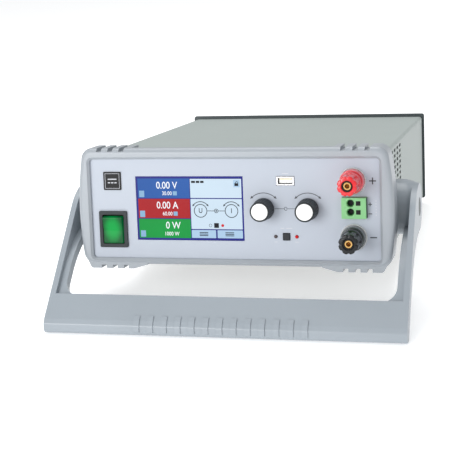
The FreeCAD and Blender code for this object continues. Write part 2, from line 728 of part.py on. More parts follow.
def knob_cap(x):
    """Flat pale cap in the front of a knob."""
    y_front = PANEL_Y - KNOB_LENGTH
    cap = rod_y(x, KNOB_Z, KNOB_CAP_R, y_front - 0.3, y_front + 1.5)
    rim = [e for e in cap.Edges if e.BoundBox.YMax < y_front - 0.2]
    return cap.makeFillet(0.25, rim)


def encoder_body(x):
    """Encoder housing behind the panel with its threaded bush through it."""
    y_back = PANEL_Y + PANEL_THICK
    housing = box(x - 6.5, x + 6.5, y_back, BOARD_Y, KNOB_Z - 6.5, KNOB_Z + 6.5)
    bush = rod_y(x, KNOB_Z, 3.5, PANEL_Y - 4.5, y_back)
    cavity = rod_y(x, KNOB_Z, 3.1, PANEL_Y - 5, y_back + 5.0)
    return fuse_all([housing, bush]).cut(cavity)


def encoder_nut(x):
    """Hexagon nut that clamps the encoder to the panel."""
    corners = []
    for i in range(6):
        angle = math.radians(60 * i)
        corners.append((x + 5.4 * math.cos(angle), KNOB_Z + 5.4 * math.sin(angle)))
    blank = prism_y(rounded_wire(corners, [0.3] * 6, to_xz), PANEL_Y - 2.0, PANEL_Y)
    return blank.cut(rod_y(x, KNOB_Z, 3.5, PANEL_Y - 3, PANEL_Y + 1))


def encoder_plunger(x):
    """Push switch plunger at the rear end of the spindle."""
    y_back = PANEL_Y + PANEL_THICK
    return rod_y(x, KNOB_Z, 2.6, y_back + 2.0, y_back + 4.0)


def encoder_spindle(x):
    """Spindle with a flat, which turns with the knob."""
    y_back = PANEL_Y + PANEL_THICK
    rod = rod_y(x, KNOB_Z, 3.0, PANEL_Y - KNOB_LENGTH + 4.3, y_back + 2.0)
    flat = box(x - 4, x + 4, PANEL_Y - KNOB_LENGTH, PANEL_Y - 5.0, KNOB_Z + 2.4, KNOB_Z + 4)
    return rod.cut(flat)


# === small front fittings =====================================================================
def usb_shell():
    """Metal shell of the USB socket."""
    w, h = USB_SIZE
    flange = plate_xz(USB_X - w / 2, USB_X + w / 2, USB_Z - h / 2, USB_Z + h / 2, 0.8,
                      PANEL_Y - 0.8, PANEL_Y)
    tube = box(USB_X - 6.6, USB_X + 6.6, PANEL_Y, PANEL_Y + 14.0, USB_Z - 3.0, USB_Z + 3.0)
    mouth = box(USB_X - 6.2, USB_X + 6.2, PANEL_Y - 2, PANEL_Y + 13.5, USB_Z - 2.6, USB_Z + 2.6)
    return fuse_all([flange, tube]).cut(mouth)


def usb_tongue():
    """Plastic contact tongue inside the USB socket."""
    return box(USB_X - 5.6, USB_X + 5.6, PANEL_Y + 1.5, PANEL_Y + 13.5, USB_Z + 0.5, USB_Z + 2.3)


def output_button():
    """Square key that switches the output."""
    half = BUTTON_SIZE / 2
    key = box(BUTTON_X - half, BUTTON_X + half, PANEL_Y - 1.4, PANEL_Y + 5.0,
              BUTTON_Z - half, BUTTON_Z + half)
    rim = [e for e in key.Edges if e.BoundBox.YMax < PANEL_Y - 1.39]
    return key.makeFillet(0.4, rim)


def button_switch():
    """Push switch behind the output key."""
    y0 = PANEL_Y + 5.0 + BUTTON_TRAVEL + GAP
    return box(BUTTON_X - 4.0, BUTTON_X + 4.0, y0, BOARD_Y, BUTTON_Z - 4.0, BUTTON_Z + 4.0)


def status_led(x):
    """Round status lamp with a domed front."""
    stem = rod_y(x, LED_Z, LED_R, PANEL_Y - 0.4, PANEL_Y + 6.0)
    dome = Part.makeSphere(LED_R, Vec(x, PANEL_Y - 0.4, LED_Z))
    return fuse_all([stem, dome.common(box(x - 3, x + 3, -9, PANEL_Y, LED_Z - 3, LED_Z + 3))])


def post_collar(z):
    """Insulating collar between a binding post and the panel."""
    y1 = PANEL_Y
    y0 = y1 - POST_COLLAR_LENGTH
    skirt = cone_y(POST_X, z, POST_COLLAR_R - 0.8, POST_COLLAR_R, y0, y1)
    spigot = rod_y(POST_X, z, 4.9, y1 - 1, y1 + PANEL_THICK)
    return fuse_all([skirt, spigot]).cut(rod_y(POST_X, z, POST_CORE_R, y0 - 1, y1 + 5))


def post_core(z):
    """Brass stud with a socket bore in its front and a solder tail at its rear."""
    y_front = PANEL_Y - POST_COLLAR_LENGTH - POST_WASHER - POST_NUT_LENGTH + 1.6
    stud = rod_y(POST_X, z, POST_CORE_R, y_front, PANEL_Y + 18.0)
    rear_nut = rod_y(POST_X, z, 5.5, PANEL_Y + PANEL_THICK, PANEL_Y + PANEL_THICK + 3.0)
    bore = rod_y(POST_X, z, POST_BORE_R, y_front - 1, y_front + POST_BORE_LENGTH)
    return fuse_all([stud, rear_nut]).cut(bore)


def post_washer(z):
    """Clamping washer that moves in and out with the nut."""
    y1 = PANEL_Y - POST_COLLAR_LENGTH
    ring = rod_y(POST_X, z, 6.6, y1 - POST_WASHER, y1)
    return ring.cut(rod_y(POST_X, z, POST_CORE_R + 0.06, y1 - 5, y1 + 1))


def post_nut(z):
    """Insulated screw nut with a lobed grip and a recessed front."""
    y1 = PANEL_Y - POST_COLLAR_LENGTH - POST_WASHER
    y0 = y1 - POST_NUT_LENGTH
    body = fuse_all([
        rod_y(POST_X, z, POST_NUT_R, y0, y1 - 6.0),
        cone_y(POST_X, z, POST_NUT_R, POST_COLLAR_R - 1.4, y1 - 6.0, y1 - 2.0),
        rod_y(POST_X, z, POST_COLLAR_R - 1.4, y1 - 2.0, y1),
    ])
    rim = [e for e in body.Edges if e.BoundBox.YMax < y0 + 0.01]
    body = body.makeFillet(1.2, rim)
    scoops = []
    for i in range(6):
        angle = math.radians(60 * i + 30)
        cx = POST_X + (POST_NUT_R + 2.3) * math.cos(angle)
        cz = z + (POST_NUT_R + 2.3) * math.sin(angle)
        scoops.append(rod_y(cx, cz, 3.4, y0 - 1, y1 - 6.0))
    recess = rod_y(POST_X, z, 4.65, y0 - 1, y0 + 4.0)
    bore = rod_y(POST_X, z, POST_CORE_R + 0.06, y0 - 1, y1 + 1)
    return cut_all(body, scoops + [recess, bore])


def sense_header():
    """Fixed pin header behind the panel that the sense plug slides into."""
    w, h = SENSE_SIZE
    y0 = PANEL_Y + PANEL_THICK
    back = box(SENSE_X - w / 2 - 1.5, SENSE_X + w / 2 + 1.5, y0, y0 + 12.0,
               SENSE_Z - h / 2 - 1.5, SENSE_Z + h / 2 + 1.5)
    well = box(SENSE_X - w / 2 - GAP, SENSE_X + w / 2 + GAP, y0 - 1, y0 + 10.5,
               SENSE_Z - h / 2 - GAP, SENSE_Z + h / 2 + GAP)
    return back.cut(well)


def sense_plug():
    """Two-pole push-in plug with round wire funnels and square release slots."""
    w, h = SENSE_SIZE
    y0 = PANEL_Y - SENSE_PROUD
    y1 = PANEL_Y + PANEL_THICK + 8.0
    body = box(SENSE_X - w / 2, SENSE_X + w / 2, y0, y1, SENSE_Z - h / 2, SENSE_Z + h / 2)
    holes = []
    for z in (4.3, -3.2):
        x = SENSE_X - 2.8
        holes.append(cone_y(x, z, 3.3, 2.2, y0 - 0.01, y0 + 4.0))
        holes.append(rod_y(x, z, 2.2, y0 + 3.9, y0 + 11.0))
        holes.append(box(SENSE_X + 2.4, SENSE_X + 5.2, y0 - 1, y0 + 7.0, z - 1.4, z + 1.4))
    return cut_all(body, holes)


# === rear fittings ============================================================================
def fan_frame():
    """Square fan frame with four corner holes and a hub plate on three struts."""
    half = FAN_SIZE / 2
    y1 = CASE_REAR_Y - SHEET
    y0 = y1 - FAN_DEPTH
    block = plate_xz(FAN_X - half, FAN_X + half, FAN_Z - half, FAN_Z + half, 4.0, y0, y1)
    holes = [rod_y(FAN_X, FAN_Z, FAN_BORE_R, y0 - 1, y1 + 1)]
    for dx in (-35.75, 35.75):
        for dz in (-35.75, 35.75):
            holes.append(rod_y(FAN_X + dx, FAN_Z + dz, 2.1, y0 - 1, y1 + 1))
    shell = cut_all(block, holes)
    hub = rod_y(FAN_X, FAN_Z, 15.0, y0, y0 + 3.0)
    pin = rod_y(FAN_X, FAN_Z, 2.0, y0 + 2.0, y1 - 5.5)
    struts = []
    for i in range(3):
        strut = box(FAN_X, FAN_X + FAN_BORE_R + 1.0, y0, y0 + 3.0, FAN_Z - 1.5, FAN_Z + 1.5)
        strut.rotate(Vec(FAN_X, 0, FAN_Z), AXIS_Y, 120 * i + 30)
        struts.append(strut)
    return fuse_all([shell, hub, pin] + struts)


def fan_rotor():
    """Seven-bladed rotor on its hub."""
    y1 = CASE_REAR_Y - SHEET - 1.5
    y0 = y1 - 18.0
    hub = rod_y(FAN_X, FAN_Z, 15.0, y0, y1)
    blades = []
    for i in range(7):
        blade = box(13.0, FAN_BORE_R - 1.5, -1.0, 1.0, -8.0, 8.0)
        blade.rotate(Vec(0, 0, 0), AXIS_X, 50)
        blade.translate(Vec(FAN_X, (y0 + y1) / 2, FAN_Z))
        blade.rotate(Vec(FAN_X, 0, FAN_Z), AXIS_Y, 360 * i / 7)
        blades.append(blade)
    rotor = fuse_all([hub] + blades)
    return rotor.cut(rod_y(FAN_X, FAN_Z, 2.06, y0 - 1, y1 - 3.0))


def fan_guard():
    """Wire finger guard outside the rear panel."""
    y = CASE_REAR_Y + 2.1
    rings = [Part.makeTorus(r, 0.9, Vec(FAN_X, y, FAN_Z), AXIS_Y) for r in (11.0, 19.0, 27.0, 35.0)]
    bars = []
    for angle in (45.0, -45.0):
        bar = Part.makeCylinder(0.9, 98.0, Vec(FAN_X - 49.0, y - 1.15, FAN_Z), AXIS_X)
        bar.rotate(Vec(FAN_X, 0, FAN_Z), AXIS_Y, angle)
        bars.append(bar)
    return fuse_all(rings + bars)


def mains_inlet():
    """Mains inlet module with three pins and a bay for the fuse drawer."""
    y1 = CASE_REAR_Y + 3.0
    flange = plate_xz(INLET_X - 16.0, INLET_X + 16.0, INLET_Z - 21.0, INLET_Z + 21.0, 2.0,
                      CASE_REAR_Y, y1)
    body = box(INLET_X - 13.8, INLET_X + 13.8, CASE_REAR_Y - 26.0, CASE_REAR_Y,
               INLET_Z - 17.8, INLET_Z + 17.8)
    socket = plate_xz(INLET_X - 12.2, INLET_X + 12.2, INLET_Z - 16.0, INLET_Z + 1.0, 3.0,
                      y1 - 19.0, y1 + 1)
    bay = box(INLET_X - 9.0, INLET_X + 9.0, y1 - 24.0, y1 + 1, INLET_Z + 5.0, INLET_Z + 15.0)
    shell = fuse_all([flange, body]).cut(socket).cut(bay)
    pins = []
    for dx, dz in ((-7.0, -10.0), (7.0, -10.0), (0.0, -5.0)):
        pins.append(box(INLET_X + dx - 1.0, INLET_X + dx + 1.0, y1 - 20.0, y1 - 7.0,
                        INLET_Z + dz - 2.0, INLET_Z + dz + 2.0))
    return fuse_all([shell] + pins)


def fuse_drawer():
    """Pull-out fuse drawer above the inlet."""
    y1 = CASE_REAR_Y + 3.0
    drawer = box(INLET_X - 9.0 + GAP, INLET_X + 9.0 - GAP, y1 - 22.0, y1 + 0.6,
                 INLET_Z + 5.0 + GAP, INLET_Z + 15.0 - GAP)
    lip = box(INLET_X - 4.0, INLET_X + 4.0, y1 + 0.6, y1 + 1.8, INLET_Z + 12.0, INLET_Z + 14.0)
    trough = box(INLET_X - 6.0, INLET_X + 6.0, y1 - 21.0, y1 - 3.0, INLET_Z + 8.0, INLET_Z + 16.0)
    return fuse_all([drawer, lip]).cut(trough)


def dsub_socket():
    """Fifteen-way analogue interface socket."""
    y = CASE_REAR_Y
    flange = plate_xz(DSUB_X - 19.6, DSUB_X + 19.6, DSUB_Z - 6.2, DSUB_Z + 6.2, 1.0, y, y + 0.8)
    corners = [(DSUB_X - 12.4, DSUB_Z + 4.5), (DSUB_X - 10.8, DSUB_Z - 4.5),
               (DSUB_X + 10.8, DSUB_Z - 4.5), (DSUB_X + 12.4, DSUB_Z + 4.5)]
    hood = prism_y(rounded_wire(corners, [1.2] * 4, to_xz), y - 8.0, y + 3.2)
    holes = []
    for row, count in ((1.4, 8), (-1.4, 7)):
        for i in range(count):
            x = DSUB_X + (i - (count - 1) / 2) * 2.76
            holes.append(rod_y(x, DSUB_Z + row, 0.6, y - 3.0, y + 5.0))
    studs = [rod_y(DSUB_X + dx, DSUB_Z, 2.4, y, y + 5.0) for dx in (-16.6, 16.6)]
    return cut_all(fuse_all([flange, hood] + studs), holes)


def service_socket():
    """Square service data socket."""
    y = CASE_REAR_Y
    shell = box(SERVICE_X - 6.0, SERVICE_X + 6.0, y - 14.0, y + 1.0, SERVICE_Z - 5.4, SERVICE_Z + 5.4)
    mouth = box(SERVICE_X - 4.3, SERVICE_X + 4.3, y - 9.0, y + 2.0, SERVICE_Z - 3.9, SERVICE_Z + 3.9)
    tongue = box(SERVICE_X - 2.8, SERVICE_X + 2.8, y - 10.0, y - 1.0, SERVICE_Z - 1.6, SERVICE_Z + 1.6)
    return fuse_all([shell.cut(mouth), tongue])


# === inside ===================================================================================
def front_board():
    """Control board behind the front panel, slotted for the USB socket."""
    board = box(-88.0, 86.0, BOARD_Y, BOARD_Y + BOARD_THICK, -36.0, 34.0)
    return board.cut(box(USB_X - 7.0, USB_X + 7.0, BOARD_Y - 1, BOARD_Y + 5, USB_Z - 3.4, USB_Z + 3.4))


def main_board():
    """Main circuit board on the tray's posts."""
    return box(-118.0, 118.0, 46.0, 320.0, BOARD_Z, BOARD_Z + BOARD_THICK)


def heat_sink(side):
    """Finned aluminium heat sink beside the board's power parts."""
    z0 = BOARD_Z + BOARD_THICK
    base = box(60.0, 66.0, 110.0, 250.0, z0, z0 + 55.0)
    fins = [box(66.0, 96.0, 110.0, 250.0, z0 + 2.0 + i * 7.2, z0 + 4.0 + i * 7.2) for i in range(8)]
    return on_side(fuse_all([base] + fins), side)


def transformer_core():
    """Ferrite core of the main transformer."""
    z0 = BOARD_Z + BOARD_THICK
    block = box(-28.0, 28.0, 150.0, 196.0, z0, z0 + 46.0)
    windows = [box(s - 7.5, s + 7.5, 149.0, 197.0, z0 + 8.0, z0 + 38.0) for s in (-13.0, 13.0)]
    return cut_all(block, windows)


def transformer():
    """Main transformer: core and winding as two solids."""
    return Part.makeCompound([transformer_core(), transformer_winding()])


def transformer_winding():
    """Wound bobbin on the transformer's middle limb."""
    z0 = BOARD_Z + BOARD_THICK
    bobbin = box(-20.0, 20.0, 142.0, 204.0, z0 + 8.5, z0 + 37.5)
    limb = box(-5.7, 5.7, 149.8, 196.2, z0 + 8.0, z0 + 38.0)
    return bobbin.cut(limb)


def capacitors():
    """Reservoir capacitors."""
    z0 = BOARD_Z + BOARD_THICK
    return Part.makeCompound([rod_z(-30.0 + i * 30.0, 100.0, 12.5, z0, z0 + 45.0) for i in range(3)])


def choke():
    """Toroidal mains choke."""
    z0 = BOARD_Z + BOARD_THICK
    return Part.makeTorus(14.0, 7.0, Vec(40.0, 290.0, z0 + 7.0), AXIS_Z)


# === assembly =================================================================================
SIDES = {"left": -1, "right": 1}
KNOBS = {"voltage": KNOB_X[0], "current": KNOB_X[1]}
POSTS = {"positive": POST_Z[0], "negative": POST_Z[1]}


def all_nodes():
    """Every piece by name, drawn square to the case."""
    nodes = {
        "front_bezel": front_bezel(),
        "front_panel": front_panel(),
        "badge_plate": badge_plate(),
        "top_cover": top_cover(),
        "bottom_tray": bottom_tray(),
        "rear_panel": rear_panel(),
        "rear_frame": rear_frame(),
        "rear_feet": rear_feet(),
        "rear_screws": rear_screws(),
        "tray_screws": tray_screws(),
        "carry_handle": carry_handle(),
        "rocker_frame": rocker_frame(),
        "rocker_lever": rocker_lever(),
        "display_glass": display_glass(),
        "display_module": display_module(),
        "usb_shell": usb_shell(),
        "usb_tongue": usb_tongue(),
        "output_button": output_button(),
        "button_switch": button_switch(),
        "standby_led": status_led(LED_X[0]),
        "output_led": status_led(LED_X[1]),
        "sense_header": sense_header(),
        "sense_plug": sense_plug(),
        "fan_frame": fan_frame(),
        "fan_rotor": fan_rotor(),
        "fan_guard": fan_guard(),
        "mains_inlet": mains_inlet(),
        "fuse_drawer": fuse_drawer(),
        "dsub_socket": dsub_socket(),
        "service_socket": service_socket(),
        "front_board": front_board(),
        "main_board": main_board(),
        "heat_sinks": Part.makeCompound([heat_sink(-1), heat_sink(1)]),
        "transformer": transformer(),
        "capacitors": capacitors(),
        "choke": choke(),
    }
    for name, side in SIDES.items():
        nodes["pivot_boss_" + name] = pivot_boss(side)
        nodes["pivot_bolt_" + name] = pivot_bolt(side)
        nodes["lock_button_" + name] = lock_button(side)
    for name, x in KNOBS.items():
        nodes[name + "_knob"] = Part.makeCompound([fluted_knob(x), encoder_spindle(x)])
        nodes[name + "_knob_cap"] = knob_cap(x)
        nodes[name + "_encoder"] = fuse_encoder(x)
        nodes[name + "_plunger"] = encoder_plunger(x)
    for name, z in POSTS.items():
        nodes[name + "_collar"] = post_collar(z)
        nodes[name + "_stud"] = post_core(z)
        nodes[name + "_washer"] = post_washer(z)
        nodes[name + "_nut"] = post_nut(z)
    return nodes


def fuse_encoder(x):
    """Encoder with its clamping nut as two solids in one group."""
    return Part.makeCompound([encoder_body(x), encoder_nut(x)])


def stand_angle():
    """Tilt that puts the handle's underside and the rear feet on one level."""
    nose_y = GRIP_NOSE_Y + GRIP_BOTTOM_R
    nose_z = GRIP_BOTTOM_Z + GRIP_BOTTOM_R
    foot_y = CASE_REAR_Y - 16.0 + 9.0
    reach = math.hypot(foot_y - nose_y, FOOT_Z - nose_z)
    return math.atan2(FOOT_Z - nose_z, foot_y - nose_y) + math.asin(GRIP_BOTTOM_R / reach)


def stood_up(shape, angle):
    """The piece with the case tilted back on the handle."""
    turned = shape.copy()
    turned.rotate(Vec(0, 0, 0), AXIS_X, -math.degrees(angle))
    return turned


def seat_shift(shapes):
    """Shift that puts the lowest point on z = 0 and the origin under the middle."""
    low = [1e9, 1e9, 1e9]
    high = [-1e9, -1e9, -1e9]
    for shape in shapes:
        b = shape.optimalBoundingBox(False, False)
        low = [min(a, c) for a, c in zip(low, (b.XMin, b.YMin, b.ZMin))]
        high = [max(a, c) for a, c in zip(high, (b.XMax, b.YMax, b.ZMax))]
    return Vec(-(low[0] + high[0]) / 2, -(low[1] + high[1]) / 2, -low[2])


def main():
    """Build, stand up and write every piece."""
    os.makedirs("parts", exist_ok=True)
    angle = stand_angle()
    standing = {name: stood_up(shape, angle) for name, shape in all_nodes().items()}
    shift = seat_shift(list(standing.values()))
    for name, shape in standing.items():
        shape.translate(shift)
        shape.exportStep(os.path.join("parts", name + ".step"))
    print(len(standing), "pieces, tilt", round(math.degrees(angle), 3), "shift", shift)


if __name__ == "__main__":
    main()
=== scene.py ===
"""Looks of a desktop DC bench power supply that stands on its fold-down carry handle.

Every new piece is drawn in the instrument's own square frame, in millimetres: X to the right seen
from the front, Y to the rear, Z up, with the middle of the bezel's front edge at the origin. One
matrix then tilts it back onto the handle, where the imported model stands.
"""

import json
import logging
import math
from dataclasses import dataclass, field
from enum import Enum
from typing import Dict, List, Optional, Sequence, Tuple, Union

import bmesh
import bpy
from mathutils import Matrix, Vector


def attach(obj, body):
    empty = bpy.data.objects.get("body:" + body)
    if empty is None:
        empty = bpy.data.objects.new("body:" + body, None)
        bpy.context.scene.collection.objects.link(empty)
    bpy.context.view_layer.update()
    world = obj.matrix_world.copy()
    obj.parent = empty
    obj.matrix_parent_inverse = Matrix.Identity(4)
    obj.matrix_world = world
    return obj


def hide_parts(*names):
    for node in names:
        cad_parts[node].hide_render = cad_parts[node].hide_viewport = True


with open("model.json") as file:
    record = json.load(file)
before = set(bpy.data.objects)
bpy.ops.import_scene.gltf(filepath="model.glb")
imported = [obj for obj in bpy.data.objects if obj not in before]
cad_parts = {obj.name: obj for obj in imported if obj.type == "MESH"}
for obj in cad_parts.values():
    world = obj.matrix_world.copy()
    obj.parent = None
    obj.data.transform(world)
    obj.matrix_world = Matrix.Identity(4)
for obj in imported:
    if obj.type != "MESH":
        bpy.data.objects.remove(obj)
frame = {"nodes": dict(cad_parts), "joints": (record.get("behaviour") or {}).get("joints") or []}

LOG = logging.getLogger("bench_supply")
WELD_M = 2e-6
FLAT_ANGLE = math.radians(0.6)

Colour = Tuple[float, float, float, float]
Point2 = Tuple[float, float]
Point3 = Tuple[float, float, float]

BLACK: Colour = (0.0, 0.0, 0.0, 1.0)
WHITE: Colour = (1.0, 1.0, 1.0, 1.0)


def srgb(red: float, green: float, blue: float) -> Colour:
    """Linear colour of a display colour given in steps of 0 to 255.

    Args:
        red: Red step.
        green: Green step.
        blue: Blue step.

    Returns:
        The colour as a shader socket takes it.
    """
    steps = [value / 255.0 for value in (red, green, blue)]
    linear = [s / 12.92 if s <= 0.04045 else ((s + 0.055) / 1.055) ** 2.4 for s in steps]
    return linear[0], linear[1], linear[2], 1.0


def shaded(colour: Colour, share: float) -> Colour:
    """The colour made lighter or darker.

    Args:
        colour: A linear colour.
        share: What to multiply it by.

    Returns:
        The new linear colour.
    """
    return tuple(min(1.0, value * share) for value in colour[:3]) + (1.0,)


# === the instrument's own frame =================================================================
@dataclass(frozen=True)
class CaseFrame:
    """The square frame of the case, in millimetres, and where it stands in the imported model."""

    pivot: Vector
    rearward: Vector
    pivot_in_case: Vector = Vector((0.0, 57.0, -8.0))

    @classmethod
    def from_joints(cls, joints: Sequence[dict]) -> "CaseFrame":
        """Frame read from the handle's hinge and the output key's travel.

        Args:
            joints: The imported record's joints.

        Returns:
            The frame of the tilted case.
        """
        named = {joint["name"]: joint for joint in joints}
        pivot = Vector(named["handle_swing"]["pos_m"])
        rearward = Vector(named["output_button_press"]["axis"]).normalized()
        return cls(pivot, rearward)

    @property
    def tilt(self) -> float:
        """How far the case leans back, in radians."""
        return math.atan2(-self.rearward.z, self.rearward.y)

    @property
    def matrix(self) -> Matrix:
        """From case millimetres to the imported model's metres.

        Returns:
            The matrix.
        """
        turn = Matrix.Rotation(-self.tilt, 4, "X")
        to_pivot = Matrix.Translation(-self.pivot_in_case)
        return Matrix.Translation(self.pivot) @ turn @ Matrix.Scale(0.001, 4) @ to_pivot

    def place(self, x: float, y: float, z: float) -> Vector:
        """A case point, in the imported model's metres."""
        return self.matrix @ Vector((x, y, z))


CASE = CaseFrame.from_joints(frame["joints"])


# === shader maths ===============================================================================
class Value:
    """A number on a shader socket. Python operators on it add Math nodes."""

    def __init__(self, paint: "Paint", socket: bpy.types.NodeSocket) -> None:
        """Wrap a socket of a material."""
        self.paint = paint
        self.socket = socket

    def apply(self, operation: str, *terms: Union["Value", float]) -> "Value":
        """Result of one Math node.

        Args:
            operation: The Math node's operation.
            terms: Its inputs in order.

        Returns:
            The node's result.
        """
        made = self.paint.node("ShaderNodeMath", {"operation": operation}, dict(enumerate(terms)))
        return Value(self.paint, made.outputs[0])

    def __add__(self, other: Union["Value", float]) -> "Value":
        """Sum."""
        return self.apply("ADD", self, other)

    __radd__ = __add__

    def __mul__(self, other: Union["Value", float]) -> "Value":
        """Product."""
        return self.apply("MULTIPLY", self, other)

    __rmul__ = __mul__

    def __sub__(self, other: Union["Value", float]) -> "Value":
        """Difference."""
        return self.apply("SUBTRACT", self, other)

    def __rsub__(self, other: float) -> "Value":
        """Difference from a number."""
        return self.apply("SUBTRACT", other, self)

    def __truediv__(self, other: Union["Value", float]) -> "Value":
        """Quotient."""
        return self.apply("DIVIDE", self, other)

    def magnitude(self) -> "Value":
        """Size without sign."""
        return self.apply("ABSOLUTE", self)

    def repeat(self) -> "Value":
        """Part after the decimal point."""
        return self.apply("FRACT", self)

    def above(self, level: float) -> "Value":
        """One where the number is greater than a level, otherwise zero."""
        return self.apply("GREATER_THAN", self, level)

    def ramp(self, low: float, high: float) -> "Value":
        """Smooth step from zero at low to one at high."""
        settings = {"interpolation_type": "SMOOTHSTEP"}
        inputs = {"Value": self, "From Min": low, "From Max": high}
        made = self.paint.node("ShaderNodeMapRange", settings, inputs)
        return Value(self.paint, made.outputs[0])


class Paint:
    """One node material, built socket by socket."""

    def __init__(self, name: str) -> None:
        """Start an empty material with a Principled shader.

        Args:
            name: The material's name.
        """
        self.material = bpy.data.materials.new(name)
        self.material.use_nodes = True
        self.tree = self.material.node_tree
        self.tree.nodes.clear()
        output = self.node("ShaderNodeOutputMaterial")
        self.shader = self.node("ShaderNodeBsdfPrincipled")
        self.tree.links.new(self.shader.outputs[0], output.inputs["Surface"])

    def node(self, kind: str, settings: Optional[dict] = None,
             inputs: Optional[dict] = None) -> bpy.types.Node:
        """Add a node.

        Args:
            kind: The node's type.
            settings: Its properties, set before its sockets.
            inputs: Values or links for its sockets, by name or index.

        Returns:
            The new node.
        """
        made = self.tree.nodes.new(kind)
        for key, value in (settings or {}).items():
            setattr(made, key, value)
        for key, value in (inputs or {}).items():
            self.plug(made.inputs[key], value)
        return made

    def plug(self, socket: bpy.types.NodeSocket, value: object) -> None:
        """Link or set one input socket.

        Args:
            socket: The input socket.
            value: A Value, an output socket, or a plain number, vector or colour.
        """
        source = value.socket if isinstance(value, Value) else value
        if isinstance(source, bpy.types.NodeSocket):
            self.tree.links.new(source, socket)
        else:
            socket.default_value = source

    def set(self, **sockets: object) -> "Paint":
        """Set the shader's sockets; underscores in a name stand for spaces.

        Args:
            sockets: The values or links by socket name.

        Returns:
            This paint.
        """
        for name, value in sockets.items():
            self.plug(self.shader.inputs[name.replace("_", " ")], value)
        return self

    def case_point(self) -> bpy.types.NodeSocket:
        """Where the surface is in the case's own frame, in millimetres.

        Returns:
            The point's socket.
        """
        back = CASE.matrix.inverted()
        inputs = {
            "Vector": self.node("ShaderNodeTexCoord").outputs["Object"],
            "Location": back.translation,
            "Rotation": (CASE.tilt, 0.0, 0.0),
            "Scale": (1000.0, 1000.0, 1000.0),
        }
        return self.node("ShaderNodeMapping", {"vector_type": "POINT"}, inputs).outputs[0]

    def axes(self, point: bpy.types.NodeSocket) -> Tuple[Value, Value, Value]:
        """The three coordinates of a point as numbers."""
        parts = self.node("ShaderNodeSeparateXYZ", None, {0: point}).outputs
        return Value(self, parts[0]), Value(self, parts[1]), Value(self, parts[2])

    def stretched(self, point: bpy.types.NodeSocket, share: Point3) -> bpy.types.NodeSocket:
        """The point with each coordinate multiplied by a share."""
        settings = {"operation": "MULTIPLY"}
        return self.node("ShaderNodeVectorMath", settings, {0: point, 1: share}).outputs[0]

    def noise(self, point: bpy.types.NodeSocket, size: float, detail: float = 2.0) -> Value:
        """Soft noise from 0 to 1.

        Args:
            point: Where it is read, in millimetres.
            size: Width of one patch, in millimetres.
            detail: How many finer layers it has.

        Returns:
            The noise.
        """
        inputs = {"Vector": point, "Scale": 1.0 / size, "Detail": detail, "Roughness": 0.55}
        return Value(self, self.node("ShaderNodeTexNoise", None, inputs).outputs[0])

    def blend(self, factor: Union[Value, float], first: object, second: object) -> bpy.types.NodeSocket:
        """Colour between two colours.

        Args:
            factor: 0 gives the first, 1 the second.
            first: A colour or a colour socket.
            second: A colour or a colour socket.

        Returns:
            The mixed colour's socket.
        """
        settings = {"data_type": "RGBA", "clamp_factor": True}
        return self.node("ShaderNodeMix", settings, {0: factor, 6: first, 7: second}).outputs[2]

    def relief(self, height: Value, depth_mm: float) -> None:
        """Fine bumps in the surface.

        Args:
            height: Height from 0 to 1.
            depth_mm: What a height of 1 stands for.
        """
        inputs = {"Strength": 1.0, "Distance": depth_mm / 1000.0, "Height": height}
        self.set(Normal=self.node("ShaderNodeBump", None, inputs).outputs[0])


# === finishes ===================================================================================
class Grain(Enum):
    """How the fine texture of a surface runs."""

    EVEN = (1.0, 1.0, 1.0)
    ALONG_X = (0.03, 1.0, 1.0)
    ALONG_Y = (1.0, 0.03, 1.0)


@dataclass(frozen=True)
class Finish:
    """An opaque or translucent finish with broad colour drift and fine grain."""

    name: str
    colour: Colour
    roughness: float = 0.45
    metallic: float = 0.0
    drift: float = 0.03
    grain: Grain = Grain.EVEN
    grain_mm: float = 0.7
    grain_depth_mm: float = 0.02
    coat: float = 0.0
    clear: float = 0.0
    soft: float = 0.0
    gleam: float = 0.5

    def make(self) -> bpy.types.Material:
        """Build the material.

        Returns:
            The finished material.
        """
        paint = Paint(self.name)
        point = paint.case_point()
        broad = paint.noise(point, 45.0, 2.0)
        fine = paint.noise(paint.stretched(point, self.grain.value), self.grain_mm, 3.0)
        tone = broad * 0.65 + fine * 0.35
        light = shaded(self.colour, 1.0 + self.drift)
        dark = shaded(self.colour, 1.0 - self.drift)
        paint.set(
            Base_Color=paint.blend(tone.ramp(0.25, 0.75), dark, light),
            Roughness=fine * 0.14 + broad * 0.06 + (self.roughness - 0.1),
            Metallic=self.metallic,
            Coat_Weight=self.coat,
            Coat_Roughness=0.08,
            Transmission_Weight=self.clear,
            Subsurface_Weight=self.soft,
            Subsurface_Radius=(0.002, 0.002, 0.002),
            Specular_IOR_Level=self.gleam,
        )
        if self.grain_depth_mm > 0.0:
            paint.relief(fine, self.grain_depth_mm)
        return paint.material


@dataclass(frozen=True)
class Glow:
    """A lit surface, brightest in a soft patch in the middle of its piece."""

    name: str
    colour: Colour
    rim: Colour
    centre: Point2
    reach: Point2
    power: float = 1.0
    roughness: float = 0.26
    coat: float = 0.05

    def make(self) -> bpy.types.Material:
        """Build the material.

        Returns:
            The finished material.
        """
        paint = Paint(self.name)
        point = paint.case_point()
        x, _, z = paint.axes(point)
        across = (x - self.centre[0]).magnitude() / self.reach[0]
        upright = (z - self.centre[1]).magnitude() / self.reach[1]
        spread = across * across + upright * upright
        ripple = paint.noise(point, 3.5, 2.0)
        hot = 1.0 - (spread + ripple * 0.25).ramp(0.05, 1.15)
        tint = paint.blend(hot, self.rim, self.colour)
        paint.set(
            Base_Color=paint.blend(0.75, tint, BLACK),
            Emission_Color=tint,
            Emission_Strength=self.power,
            Roughness=ripple * 0.1 + self.roughness,
            Coat_Weight=self.coat,
            Coat_Roughness=0.05,
            Specular_IOR_Level=0.2,
        )
        return paint.material


